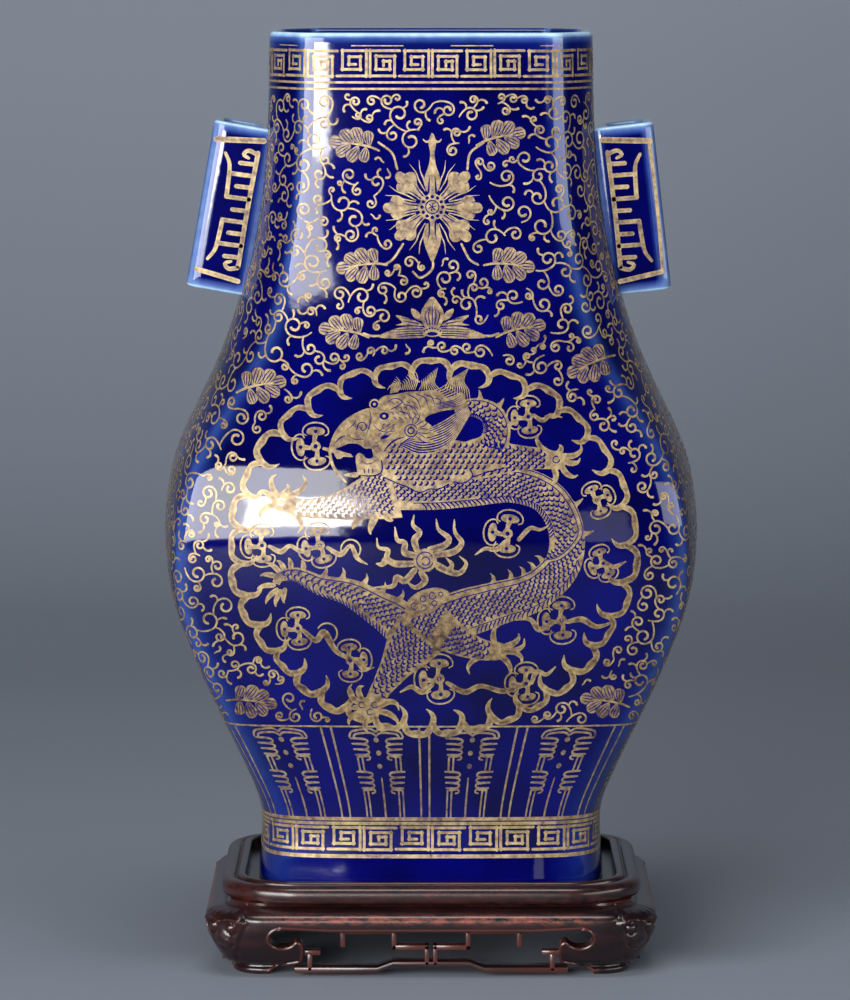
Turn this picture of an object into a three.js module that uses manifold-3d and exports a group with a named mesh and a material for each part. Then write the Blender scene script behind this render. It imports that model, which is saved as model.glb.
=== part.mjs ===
// A porcelain vase of rectangular section with two tube handles, resting in a carved hardwood stand.
// Millimetres, +Z up. The origin is the centre of the stand's footprint, on the plane of its soles.
// The front of the vase faces -Y.
import * as THREE from "three";
import { mergeVertices } from "three/addons/utils/BufferGeometryUtils.js";
import Module from "manifold-3d";

const wasm = await Module();
wasm.setup();

// Vase: outer sizes of each level
const VASE_HEIGHT = 296;
const MOUTH_WIDTH = 112.4;
const MOUTH_DEPTH = 79;
const BELLY_WIDTH = 187.4;
const BELLY_DEPTH = 138;
const BELLY_HEIGHT = 124.5;
const WAIST_WIDTH = 119.4;
const WAIST_DEPTH = 91;
const WAIST_HEIGHT = 24.5;
const FOOT_WIDTH = 123;
const FOOT_DEPTH = 95;

// Vase: walls, lip, floor and foot ring
const WALL = 4.2;
const LIP_ROUND = 1.8;
const FLOOR_HEIGHT = 15;
const FOOT_RING_WIDTH = 6;
const FOOT_RECESS = 8;
const FOOT_EDGE_ROUND = 1.2;

// Vase: how far the canted corners of the neck turn from the front, in degrees
const CANT_TURN = 55;

// Vase: [share of the way up, share of the swelling], from the waist up to the belly
const LOWER_SWELL = [
  [0, 0],
  [0.07, 0.067],
  [0.245, 0.278],
  [0.49, 0.602],
  [0.785, 0.93],
  [1, 1],
];
// The same from the belly up to the mouth, where the swelling has run out
const UPPER_SWELL = [
  [0, 1],
  [0.124, 0.92],
  [0.206, 0.773],
  [0.288, 0.587],
  [0.39, 0.39],
  [0.586, 0.14],
  [0.77, 0.03],
  [1, 0],
];
// How the faces bulge and the corners are worked, by share of the vase's height
const SIDE_BULGE = [
  [0, 1.2],
  [0.2, 1.8],
  [0.32, 3],
  [0.42, 5.6],
  [0.54, 6.6],
  [0.64, 6],
  [0.7, 4.6],
  [0.87, 1.5],
  [1, 0.8],
];
const FRONT_BULGE = [
  [0, 1.4],
  [0.1, 1.6],
  [0.42, 7],
  [0.6, 5],
  [0.8, 2.6],
  [1, 2],
];
const CORNER_ROUND = [
  [0, 15],
  [0.09, 13],
  [0.22, 8],
  [0.42, 5.5],
  [0.7, 5],
  [1, 4],
];
const CANT_WIDTH = [
  [0, -12],
  [0.4, -6],
  [0.5, 0.5],
  [0.64, 8],
  [0.7, 9.4],
  [0.87, 11],
  [1, 11.5],
];

// Tube handles
const HANDLE_LENGTH = 58.5;
const HANDLE_WIDTH = 20.7; // clear of the neck, which a tube's inner wall sinks into
const HANDLE_SINK = 1.9;
const HANDLE_DEPTH = 34;
const HANDLE_WALL = 3.2;
const HANDLE_EDGE_ROUND = 4;
const HANDLE_LIP_ROUND = 1.2;
const HANDLE_TOP_BELOW_MOUTH = 32.5;
const HANDLE_LEAN_LEFT = 10; // the potter set the two tubes at slightly different angles, in degrees
const HANDLE_LEAN_RIGHT = 6.5;

// Stand: heights above the soles
const LIP_TOP = 32;
const SEAT_HEIGHT = 28;
const RING_BOTTOM = 25.2;
const BOARD_BOTTOM = 21;
const APRON_BOTTOM = 16.8;

// Stand: plan sizes
const SEAT_CLEARANCE = 3; // round the foot of the vase
const RING_WIDTH = 8.6;
const SEAT_CORNER = 18;
const LEG_CORNER = 15;
const LEG_FLARE = 5; // how far the knees stand out past the ring
const SKIRT_THICKNESS = 9;
const LEG_SPAN = 29; // along each face, from the ring's outer edge to a leg's inner edge

// Stand: openings, fretwork and masks
const SCROLL_HOLE_WIDTH = 4.7; // half the width of the round hole beside each leg
const SCROLL_HOLE_HEIGHT = 3.5; // half its height
const SCROLL_HOLE_DROP = 2.7; // from the apron's edge down to the hole's middle
const LOBE_ROUND = 2.4; // of the foot's scroll, under the hole
const HEEL_HEIGHT = 5; // where the scroll's underside starts to run out to the toe
const TOE_REACH = 12.2; // from the scroll's inner edge out to the toe
const BAR = 1.8;
const FRET_DEPTH = 5;
const FRET_JOINT = 0.6; // how far the bars run up into the apron
const LONG_DROP = 6.4; // of the outer bars, below the apron
const LOW_BAR_DROP = 5.6; // of the lower bars, below the apron
const BRACKET_LENGTH = 6;
const BRACKET_POST_INSET = 3.2;
const STRETCHER_DEPTH = 9;
const STRETCHER_THICKNESS = 2;
const STRETCHER_CLEARANCE = 1.4; // above the ground at its ends
const STRETCHER_RISE = 2; // of its middle above its ends
const MASK_HALF_WIDTH = 10.5;
const MASK_HALF_HEIGHT = 8;
const MASK_BULGE = 5.5;

// Fineness of the faceted surfaces
const FRONT_STEPS = 4;
const CORNER_STEPS = 3;
const SIDE_STEPS = 3;
const OUTSIDE_STEP = 12;
const INSIDE_STEP = 20;
const ARC_STEPS = 5;
const LOBE_STEPS = 3;
const HOLE_STEPS = 8;
const PAST = 1; // how far a cutter runs on past the face that it opens

const mix = (a, b, t) => a + (b - a) * t;
const radians = THREE.MathUtils.degToRad;

// A smooth curve through stations [place, value], read at one place.
function smoothThrough(stations, place) {
  const last = stations.length - 1;
  const t = THREE.MathUtils.clamp(place, stations[0][0], stations[last][0]);
  let i = 0;
  while (i < last - 1 && t > stations[i + 1][0]) i += 1;
  const slope = (j) => {
    const a = stations[Math.max(j - 1, 0)];
    const b = stations[Math.min(j + 1, last)];
    return (b[1] - a[1]) / (b[0] - a[0]);
  };
  const [x0, y0] = stations[i];
  const [x1, y1] = stations[i + 1];
  const width = x1 - x0;
  const u = (t - x0) / width;
  const start = u * (1 - u) * (1 - u) * width * slope(i);
  const end = u * u * (u - 1) * width * slope(i + 1);
  return mix(y0, y1, u * u * (3 - 2 * u)) + start + end;
}

// A closed THREE geometry as a manifold solid, and back.
function solidOf(geometry) {
  const plain = geometry.clone();
  plain.deleteAttribute("normal");
  plain.deleteAttribute("uv");
  const merged = mergeVertices(plain, 1e-3);
  return new wasm.Manifold(
    new wasm.Mesh({
      numProp: 3,
      vertProperties: merged.attributes.position.array,
      triVerts: new Uint32Array(merged.index.array),
    }),
  );
}

function geometryOf(solid) {
  const mesh = solid.getMesh();
  const geometry = new THREE.BufferGeometry();
  geometry.setAttribute("position", new THREE.BufferAttribute(mesh.vertProperties, mesh.numProp));
  geometry.setIndex(new THREE.BufferAttribute(mesh.triVerts, 1));
  geometry.computeVertexNormals();
  return geometry;
}

const joined = (solids) => solids.reduce((whole, next) => whole.add(next));

// A solid skinned over rings of equally many points, from the lowest ring to the highest.
function skin(rings) {
  const count = rings[0].length;
  const middle = (ring) =>
    ring.reduce((sum, p) => sum.add(p), new THREE.Vector3()).divideScalar(count);
  const points = [...rings.flat(), middle(rings[0]), middle(rings[rings.length - 1])];
  const index = [];
  const bottom = points.length - 2;
  const top = points.length - 1;
  for (let j = 0; j < count; j += 1) {
    const k = (j + 1) % count;
    for (let i = 0; i + 1 < rings.length; i += 1) {
      const a = i * count;
      const b = a + count;
      index.push(a + j, a + k, b + k, a + j, b + k, b + j);
    }
    const last = (rings.length - 1) * count;
    index.push(bottom, k, j, top, last + j, last + k);
  }
  const geometry = new THREE.BufferGeometry().setFromPoints(points);
  geometry.setIndex(index);
  return solidOf(geometry);
}

// The vase's level section at a height above its foot: half sizes, bulges and corners.
function sectionAt(height) {
  const share = THREE.MathUtils.clamp(height / VASE_HEIGHT, 0, 1);
  let halfWidth = BELLY_WIDTH / 2;
  let halfDepth = BELLY_DEPTH / 2;
  if (height < WAIST_HEIGHT) {
    const up = Math.max(height, 0) / WAIST_HEIGHT;
    const flare = (1 - up) * (1 - up);
    halfWidth = mix(WAIST_WIDTH, FOOT_WIDTH, flare) / 2;
    halfDepth = mix(WAIST_DEPTH, FOOT_DEPTH, flare) / 2;
  } else if (height < BELLY_HEIGHT) {
    const up = (height - WAIST_HEIGHT) / (BELLY_HEIGHT - WAIST_HEIGHT);
    const swell = smoothThrough(LOWER_SWELL, up);
    halfWidth = mix(WAIST_WIDTH, BELLY_WIDTH, swell) / 2;
    halfDepth = mix(WAIST_DEPTH, BELLY_DEPTH, swell) / 2;
  } else {
    const up = (height - BELLY_HEIGHT) / (VASE_HEIGHT - BELLY_HEIGHT);
    const swell = smoothThrough(UPPER_SWELL, up);
    halfWidth = mix(MOUTH_WIDTH, BELLY_WIDTH, swell) / 2;
    halfDepth = mix(MOUTH_DEPTH, BELLY_DEPTH, swell) / 2;
  }
  const sideBulge = smoothThrough(SIDE_BULGE, share);
  const frontBulge = smoothThrough(FRONT_BULGE, share);
  const cornerX = halfWidth - sideBulge;
  const cornerY = halfDepth - frontBulge;
  const cant = smoothThrough(CANT_WIDTH, share);
  const turn = radians(CANT_TURN);
  return {
    halfWidth,
    halfDepth,
    sideBulge,
    frontBulge,
    cornerX,
    cornerY,
    round: smoothThrough(CORNER_ROUND, share),
    cantReach: (cornerX - cant) * Math.sin(turn) + cornerY * Math.cos(turn),
    frontRidge: Math.atan2(cornerY, cornerX - Math.max(cant, 0)),
    sideRidge: Math.atan2(cornerY - Math.max(cant, 0) * Math.tan(turn), cornerX),
  };
}

// How far out a section reaches in one direction. Its faces and canted corners run softly into
// each other, and an inset moves all of them inwards by the same thickness.
function reachOf(section, angle, inset) {
  const { halfWidth, halfDepth, sideBulge, frontBulge, cornerX, cornerY } = section;
  const turn = radians(CANT_TURN);
  const out = Math.abs(Math.cos(angle));
  const ahead = Math.abs(Math.sin(angle));
  const round = Math.max(section.round - inset / 2, 1);
  const power = Math.log(2) / -Math.log(1 - ((1 - Math.SQRT1_2) * round) / halfDepth);
  let low = 0;
  let high = 2 * (halfWidth + halfDepth);
  while (high - low > 1e-6) {
    const reach = (low + high) / 2;
    const x = reach * out;
    const y = reach * ahead;
    const side = (x + sideBulge * (y / cornerY) ** 2) / (halfWidth - inset);
    const front = (y + frontBulge * (x / cornerX) ** 2) / (halfDepth - inset);
    const cant = (x * Math.sin(turn) + y * Math.cos(turn)) / (section.cantReach - inset);
    if (side ** power + front ** power + cant ** power > 1) high = reach;
    else low = reach;
  }
  return low;
}

// The directions of a section's points in its first quarter, from +X towards +Y.
function quarterAngles(section) {
  const soft = (0.7 * section.round) / Math.hypot(section.cornerX, section.cornerY);
  const first = section.sideRidge - soft;
  const second = section.frontRidge + soft;
  const run = (from, to, steps) =>
    Array.from({ length: steps }, (_, i) => mix(from, to, i / steps));
  return [
    ...run(0, first, SIDE_STEPS),
    ...run(first, second, CORNER_STEPS),
    ...run(second, Math.PI / 2, FRONT_STEPS),
  ];
}

// One ring of points of the vase at a height above its foot.
function vaseRing(height, inset) {
  const section = sectionAt(height);
  const quarter = quarterAngles(section);
  const mirrored = [Math.PI / 2, ...quarter.slice(1).reverse()].map((a) => Math.PI - a);
  const half = [...quarter, ...mirrored];
  return [...half, ...half.map((a) => a + Math.PI)].map((angle) => {
    const reach = reachOf(section, angle, inset);
    return new THREE.Vector3(
      reach * Math.cos(angle),
      reach * Math.sin(angle),
      SEAT_HEIGHT + height,
    );
  });
}

// Heights from one level to another in even steps of about the size asked for.
function levels(from, to, step) {
  const steps = Math.max(Math.round((to - from) / step), 1);
  return Array.from({ length: steps + 1 }, (_, i) => mix(from, to, i / steps));
}

function vaseOutside() {
  const rounded = VASE_HEIGHT - LIP_ROUND;
  const heights = [
    ...levels(FOOT_EDGE_ROUND, WAIST_HEIGHT, OUTSIDE_STEP),
    ...levels(WAIST_HEIGHT, BELLY_HEIGHT, OUTSIDE_STEP).slice(1),
    ...levels(BELLY_HEIGHT, rounded, OUTSIDE_STEP).slice(1),
  ];
  return skin([
    vaseRing(0, FOOT_EDGE_ROUND),
    ...heights.map((h) => vaseRing(h, 0)),
    vaseRing(mix(rounded, VASE_HEIGHT, 0.7), LIP_ROUND * 0.3),
    vaseRing(VASE_HEIGHT, LIP_ROUND),
  ]);
}

// The hollow inside, which widens again at the lip so that the lip is round.
function vaseInside() {
  const heights = [
    ...levels(FLOOR_HEIGHT + WALL, BELLY_HEIGHT, INSIDE_STEP),
    ...levels(BELLY_HEIGHT, VASE_HEIGHT - LIP_ROUND, INSIDE_STEP).slice(1),
  ];
  const mouth = vaseRing(VASE_HEIGHT, WALL - LIP_ROUND * 0.6);
  return skin([
    vaseRing(FLOOR_HEIGHT, 2.5 * WALL),
    ...heights.map((h) => vaseRing(h, WALL)),
    mouth,
    liftedRing(mouth, PAST),
  ]);
}

function liftedRing(ring, by) {
  return ring.map((p) => new THREE.Vector3(p.x, p.y, p.z + by));
}

function footRecess() {
  const inner = FOOT_EDGE_ROUND + FOOT_RING_WIDTH;
  return skin([
    liftedRing(vaseRing(0, inner), -PAST),
    vaseRing(0, inner),
    vaseRing(FOOT_RECESS, inner + 1),
  ]);
}

// A rounded rectangle about the origin.
function roundedRectangle(halfX, halfY, round) {
  const shape = new THREE.Shape();
  shape.absarc(halfX - round, halfY - round, round, 0, Math.PI / 2);
  shape.absarc(round - halfX, halfY - round, round, Math.PI / 2, Math.PI);
  shape.absarc(round - halfX, round - halfY, round, Math.PI, 1.5 * Math.PI);
  shape.absarc(halfX - round, round - halfY, round, 1.5 * Math.PI, 2 * Math.PI);
  shape.closePath();
  return shape;
}

// A tube handle's outer block and its bore, for the side at +X (1) or -X (-1).
function handleParts(side, lean) {
  const width = HANDLE_SINK + HANDLE_WIDTH;
  const place = (geometry) => {
    const top = VASE_HEIGHT - HANDLE_TOP_BELOW_MOUTH;
    const middle = top - (HANDLE_LENGTH / 2) * Math.cos(radians(lean));
    const centre = sectionAt(middle).halfWidth - HANDLE_SINK + width / 2;
    geometry.rotateY(-side * radians(lean));
    return geometry.translate(side * centre, 0, SEAT_HEIGHT + middle);
  };
  const lip = HANDLE_LIP_ROUND;
  const outline = roundedRectangle(
    width / 2 - lip,
    HANDLE_DEPTH / 2 - lip,
    HANDLE_EDGE_ROUND - lip,
  );
  const block = new THREE.ExtrudeGeometry(outline, {
    depth: HANDLE_LENGTH - 2 * lip,
    bevelSize: lip,
    bevelThickness: lip,
    bevelSegments: 2,
    curveSegments: 3,
  }).translate(0, 0, lip - HANDLE_LENGTH / 2);
  const innerWall = HANDLE_WALL + WALL;
  const boreWidth = width - HANDLE_WALL - innerWall;
  const bore = new THREE.ExtrudeGeometry(
    roundedRectangle(
      boreWidth / 2,
      HANDLE_DEPTH / 2 - HANDLE_WALL,
      HANDLE_EDGE_ROUND - HANDLE_LIP_ROUND,
    ),
    { depth: HANDLE_LENGTH + 2 * PAST, bevelEnabled: false, curveSegments: 3 },
  ).translate((side * (innerWall - HANDLE_WALL)) / 2, 0, -HANDLE_LENGTH / 2 - PAST);
  return { block: solidOf(place(block)), bore: solidOf(place(bore)) };
}

function vaseSolid() {
  const left = handleParts(-1, HANDLE_LEAN_LEFT);
  const right = handleParts(1, HANDLE_LEAN_RIGHT);
  return joined([vaseOutside(), left.block, right.block])
    .subtract(vaseInside())
    .subtract(left.bore)
    .subtract(right.bore)
    .subtract(footRecess());
}

// Stand: the ring's outer outline, which everything else is offset from
const RING_HALF_X = FOOT_WIDTH / 2 + SEAT_CLEARANCE + RING_WIDTH;
const RING_HALF_Y = FOOT_DEPTH / 2 + SEAT_CLEARANCE + RING_WIDTH;
const RING_CORNER = SEAT_CORNER + RING_WIDTH;

// Points and outward directions round a rounded rectangle, anticlockwise from above.
function walkRound(halfX, halfY, round) {
  const stops = [];
  const quarters = [
    [1, 1],
    [-1, 1],
    [-1, -1],
    [1, -1],
  ];
  quarters.forEach(([sx, sy], q) => {
    for (let i = 0; i <= ARC_STEPS; i += 1) {
      const angle = (q + i / ARC_STEPS) * (Math.PI / 2);
      const out = new THREE.Vector2(Math.cos(angle), Math.sin(angle));
      const centre = new THREE.Vector2(sx * (halfX - round), sy * (halfY - round));
      stops.push({ at: centre.addScaledVector(out, round), out });
    }
  });
  return stops;
}

// A moulding: a closed profile of [offset outwards, height] run round a rounded rectangle.
function moulding(halfX, halfY, round, profile) {
  const stops = walkRound(halfX, halfY, round);
  const count = profile.length;
  const points = stops.flatMap(({ at, out }) =>
    profile.map(([offset, z]) => new THREE.Vector3(at.x + out.x * offset, at.y + out.y * offset, z)),
  );
  const index = [];
  stops.forEach((_, i) => {
    const a = i * count;
    const b = ((i + 1) % stops.length) * count;
    for (let j = 0; j < count; j += 1) {
      const k = (j + 1) % count;
      index.push(a + j, b + j, b + k, a + j, b + k, a + k);
    }
  });
  const geometry = new THREE.BufferGeometry().setFromPoints(points);
  geometry.setIndex(index);
  return solidOf(geometry);
}

// The top ring: an inner bead, a groove and a round outer edge.
function topRing() {
  const height = LIP_TOP - RING_BOTTOM;
  const at = (share) => RING_BOTTOM + height * share;
  return moulding(RING_HALF_X, RING_HALF_Y, RING_CORNER, [
    [-RING_WIDTH, at(0)],
    [-RING_WIDTH * 0.16, at(0)],
    [-RING_WIDTH * 0.04, at(0.22)],
    [0, at(0.45)],
    [-RING_WIDTH * 0.06, at(0.68)],
    [-RING_WIDTH * 0.24, at(0.86)],
    [-RING_WIDTH * 0.5, at(0.88)],
    [-RING_WIDTH * 0.64, at(0.8)],
    [-RING_WIDTH * 0.72, at(0.97)],
    [-RING_WIDTH * 0.86, at(1)],
    [-RING_WIDTH, at(0.95)],
  ]);
}

// The board that carries the foot, inside and under the ring.
function seatBoard() {
  const inside = RING_WIDTH * 0.55;
  const outline = roundedRectangle(
    RING_HALF_X - inside,
    RING_HALF_Y - inside,
    RING_CORNER - inside,
  );
  const board = new THREE.ExtrudeGeometry(outline, {
    depth: SEAT_HEIGHT - BOARD_BOTTOM,
    bevelEnabled: false,
    curveSegments: ARC_STEPS,
  });
  return solidOf(board.translate(0, 0, BOARD_BOTTOM));
}

// The apron and the four legs: one bowed wall that stands out most at the knees.
function skirt() {
  const knee = LEG_FLARE;
  return moulding(RING_HALF_X, RING_HALF_Y, LEG_CORNER, [
    [-SKIRT_THICKNESS + knee * 0.2, RING_BOTTOM],
    [-SKIRT_THICKNESS + knee * 0.5, RING_BOTTOM * 0.5],
    [-SKIRT_THICKNESS - knee * 0.2, RING_BOTTOM * 0.2],
    [-SKIRT_THICKNESS - knee * 0.4, 0],
    [-knee * 0.4, 0],
    [-knee * 0.1, RING_BOTTOM * 0.05],
    [-knee * 0.2, RING_BOTTOM * 0.11],
    [-knee * 0.7, RING_BOTTOM * 0.15],
    [knee * 0.1, RING_BOTTOM * 0.22],
    [knee * 0.7, RING_BOTTOM * 0.35],
    [knee, RING_BOTTOM * 0.55],
    [knee * 0.85, RING_BOTTOM * 0.72],
    [knee * 0.35, RING_BOTTOM * 0.85],
    [-knee * 0.45, RING_BOTTOM * 0.92],
    [-knee * 0.7, RING_BOTTOM],
  ]);
}

// Half the width of the opening between the legs on a face.
const openingHalf = (ringHalf) => ringHalf - LEG_SPAN;

// A closed shape through corner points.
function outlineOf(corners) {
  return new THREE.Shape(corners.map(([x, z]) => new THREE.Vector2(x, z)));
}

// The opening in one face of the skirt, as seen from outside: a round hole beside each leg's
// scroll, the straight edge of the apron, and a gap that rises from each toe.
function openingShape(half) {
  const holeX = half + 1.5 * SCROLL_HOLE_WIDTH;
  const holeZ = APRON_BOTTOM - SCROLL_HOLE_DROP;
  const lobeX = half + LOBE_ROUND;
  const lobeZ = holeZ - SCROLL_HOLE_HEIGHT * 0.35 - LOBE_ROUND;
  const toe = half + TOE_REACH;
  const rightSide = [
    [toe, -PAST],
    [toe - TOE_REACH * 0.04, HEEL_HEIGHT * 0.26],
    [half + TOE_REACH * 0.53, HEEL_HEIGHT * 0.74],
    [half + TOE_REACH * 0.1, HEEL_HEIGHT],
    [half, mix(HEEL_HEIGHT, lobeZ, 0.5)],
  ];
  for (let i = 0; i <= LOBE_STEPS; i += 1) {
    const angle = mix(Math.PI, Math.PI / 2, i / LOBE_STEPS);
    rightSide.push([
      lobeX + LOBE_ROUND * Math.cos(angle),
      lobeZ + LOBE_ROUND * Math.sin(angle),
    ]);
  }
  for (let i = 0; i <= HOLE_STEPS; i += 1) {
    const angle = mix(-0.82 * Math.PI, 0.5 * Math.PI, i / HOLE_STEPS);
    rightSide.push([
      holeX + SCROLL_HOLE_WIDTH * Math.cos(angle),
      holeZ + SCROLL_HOLE_HEIGHT * Math.sin(angle),
    ]);
  }
  rightSide.push([half * 0.8, APRON_BOTTOM]);
  const leftSide = rightSide.map(([x, z]) => [-x, z]).reverse();
  return outlineOf([...rightSide, ...leftSide]);
}

// Puts a solid that was drawn standing on the X axis, facing -Y, on one of the four faces.
function onFace(geometry, quarter, ringHalf) {
  return solidOf(geometry.translate(0, -ringHalf, 0).rotateZ(quarter * (Math.PI / 2)));
}

// An outline in X and Z, made solid from behind its face (y = back) to in front of it (y = front).
function upright(shape, back, front) {
  const solid = new THREE.ExtrudeGeometry(shape, { depth: back - front, bevelEnabled: false });
  return solid.rotateX(Math.PI / 2).translate(0, back, 0);
}

// The low stretcher, which rises in a flat hump towards its middle.
function stretcherShape(half) {
  const end = half + TOE_REACH * 0.25;
  const low = STRETCHER_CLEARANCE;
  const high = low + STRETCHER_RISE;
  const foot = half * 0.42;
  const brow = half * 0.3;
  const under = [
    [-end, low],
    [-foot, low],
    [-brow, high],
    [brow, high],
    [foot, low],
    [end, low],
  ];
  const over = under.map(([x, z]) => [x, z + STRETCHER_THICKNESS]).reverse();
  return outlineOf([...under, ...over]);
}

// The angular fretwork of one face: stepped bars under the apron, a pair of posts in the
// middle, a bracket beside each leg and the stretcher below.
function fretwork(half) {
  const outer = half * 0.71;
  const inner = half * 0.31;
  const upper = APRON_BOTTOM + FRET_JOINT;
  const lowBar = APRON_BOTTOM - LOW_BAR_DROP;
  const postInside = BAR * 0.35; // the two middle posts stand this far from the middle
  const postFoot = STRETCHER_CLEARANCE + STRETCHER_RISE + STRETCHER_THICKNESS * 0.3;
  const bracketPost = half - BRACKET_POST_INSET;
  const shapes = [];
  [-1, 1].forEach((side) => {
    const put = (x0, x1, z0, z1) =>
      shapes.push(
        outlineOf([
          [side * x0, z0],
          [side * x1, z0],
          [side * x1, z1],
          [side * x0, z1],
        ]),
      );
    put(inner - BAR, outer, APRON_BOTTOM - BAR, upper);
    put(outer - BAR, outer, APRON_BOTTOM - LONG_DROP, upper);
    put(inner - BAR, inner, lowBar - BAR, upper);
    put(postInside, inner, lowBar - BAR, lowBar);
    put(postInside, postInside + BAR * 0.9, postFoot, lowBar);
    put(half - BRACKET_LENGTH, half + BAR, lowBar - 2 * BAR, lowBar - BAR);
    put(bracketPost, bracketPost + BAR, STRETCHER_THICKNESS, lowBar - 1.5 * BAR);
  });
  const bars = shapes.map((shape) => upright(shape, FRET_DEPTH, 0));
  const stretcher = upright(stretcherShape(half), STRETCHER_DEPTH, 0);
  return [...bars, stretcher];
}

// A carved animal mask on a knee: a domed face with a brow, two eyes and a snout.
function mask(sx, sy) {
  const lump = (radius, across, up, out, stretch, detail = 1) => {
    const ball = new THREE.IcosahedronGeometry(radius, detail);
    ball.scale(stretch[0], stretch[1], stretch[2]);
    ball.translate(out, across, up);
    return ball;
  };
  const face = MASK_HALF_WIDTH;
  const tall = MASK_HALF_HEIGHT / MASK_HALF_WIDTH;
  const flat = MASK_BULGE / MASK_HALF_WIDTH;
  const lumps = [
    lump(face, 0, 0, 0, [flat, 1, tall]),
    lump(face * 0.3, 0, -face * 0.22, MASK_BULGE * 0.8, [1, 1.2, 0.9]),
    lump(face * 0.24, face * 0.36, face * 0.2, MASK_BULGE * 0.7, [1, 1, 1], 0),
    lump(face * 0.24, -face * 0.36, face * 0.2, MASK_BULGE * 0.7, [1, 1, 1], 0),
    lump(face * 0.5, 0, face * 0.46, MASK_BULGE * 0.35, [0.6, 1.2, 0.4]),
  ];
  const cornerX = RING_HALF_X - LEG_CORNER;
  const cornerY = RING_HALF_Y - LEG_CORNER;
  const surface = LEG_CORNER + LEG_FLARE * 0.7;
  const height = RING_BOTTOM - MASK_HALF_HEIGHT;
  return lumps.map((ball) =>
    solidOf(
      ball
        .translate(surface, 0, height)
        .rotateZ(Math.atan2(sy, sx))
        .translate(sx * cornerX, sy * cornerY, 0),
    ),
  );
}

function standSolid() {
  const faces = [RING_HALF_Y, RING_HALF_X, RING_HALF_Y, RING_HALF_X];
  let body = skirt();
  faces.forEach((ringHalf, quarter) => {
    const along = faces[(quarter + 1) % 4];
    const cutter = upright(
      openingShape(openingHalf(along)),
      SKIRT_THICKNESS + LEG_FLARE * 0.4 + PAST,
      -LEG_FLARE - PAST,
    );
    body = body.subtract(onFace(cutter, quarter, ringHalf));
  });
  const extras = [topRing(), seatBoard()];
  faces.forEach((ringHalf, quarter) => {
    const along = faces[(quarter + 1) % 4];
    fretwork(openingHalf(along)).forEach((piece) => extras.push(onFace(piece, quarter, ringHalf)));
  });
  [-1, 1].forEach((sx) => [-1, 1].forEach((sy) => extras.push(...mask(sx, sy))));
  return joined([body, ...extras]);
}

function namedMesh(name, solid, material) {
  const mesh = new THREE.Mesh(geometryOf(solid), material);
  mesh.name = name;
  return mesh;
}

const glaze = new THREE.MeshStandardMaterial({ color: 0x0d1f8c, roughness: 0.12, metalness: 0 });
const hardwood = new THREE.MeshStandardMaterial({ color: 0x3a1a14, roughness: 0.35, metalness: 0 });

const root = new THREE.Group();
root.add(namedMesh("vase", vaseSolid(), glaze));
root.add(namedMesh("stand", standSolid(), hardwood));

export default root;
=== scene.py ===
"""The looks of a cobalt-glazed porcelain vase with gilt ornament, resting in a carved hardwood stand.

Lengths are in millimetres and are turned into metres where a mesh is made. +Z is up and the
front of the vase faces -Y.
"""
import math
import random

import bmesh
import bpy
import numpy as np
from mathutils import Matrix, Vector
from mathutils.geometry import tessellate_polygon


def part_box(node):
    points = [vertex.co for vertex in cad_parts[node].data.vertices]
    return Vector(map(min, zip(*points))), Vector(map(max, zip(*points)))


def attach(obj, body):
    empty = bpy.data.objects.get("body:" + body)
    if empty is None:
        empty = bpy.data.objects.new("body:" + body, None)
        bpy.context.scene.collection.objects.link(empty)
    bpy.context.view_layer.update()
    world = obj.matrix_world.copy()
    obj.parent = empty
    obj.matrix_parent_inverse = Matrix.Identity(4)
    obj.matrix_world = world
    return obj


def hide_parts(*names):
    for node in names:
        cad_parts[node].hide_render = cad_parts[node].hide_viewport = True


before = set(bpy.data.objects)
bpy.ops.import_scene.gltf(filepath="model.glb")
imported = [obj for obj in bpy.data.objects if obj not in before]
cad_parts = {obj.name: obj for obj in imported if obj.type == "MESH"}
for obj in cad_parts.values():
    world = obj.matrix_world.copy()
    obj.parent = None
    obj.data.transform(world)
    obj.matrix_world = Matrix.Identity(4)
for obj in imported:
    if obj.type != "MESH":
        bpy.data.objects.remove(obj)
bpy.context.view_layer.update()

MM = 0.001

# The vase and its stand as the frame has them
VASE_LOW, VASE_HIGH = (np.array(corner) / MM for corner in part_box("vase"))
STAND_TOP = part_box("stand")[1][2] / MM
SEAT = VASE_LOW[2]
VASE_HEIGHT = VASE_HIGH[2] - SEAT

# Vase: outer sizes of each level
MOUTH_WIDTH = 112.4
MOUTH_DEPTH = 79
BELLY_WIDTH = VASE_HIGH[0] - VASE_LOW[0]
BELLY_DEPTH = VASE_HIGH[1] - VASE_LOW[1]
BELLY_HEIGHT = 124.5
WAIST_WIDTH = 119.4
WAIST_DEPTH = 91
WAIST_HEIGHT = 24.5
FOOT_WIDTH = 123
FOOT_DEPTH = 95

# Vase: walls, lip, floor and foot ring
WALL = 4.2
LIP_ROUND = 1.8
FLOOR_HEIGHT = 15
FOOT_RING_WIDTH = 6
FOOT_RECESS = 8
FOOT_EDGE_ROUND = 1.2
CANT_TURN = math.radians(55)

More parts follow.
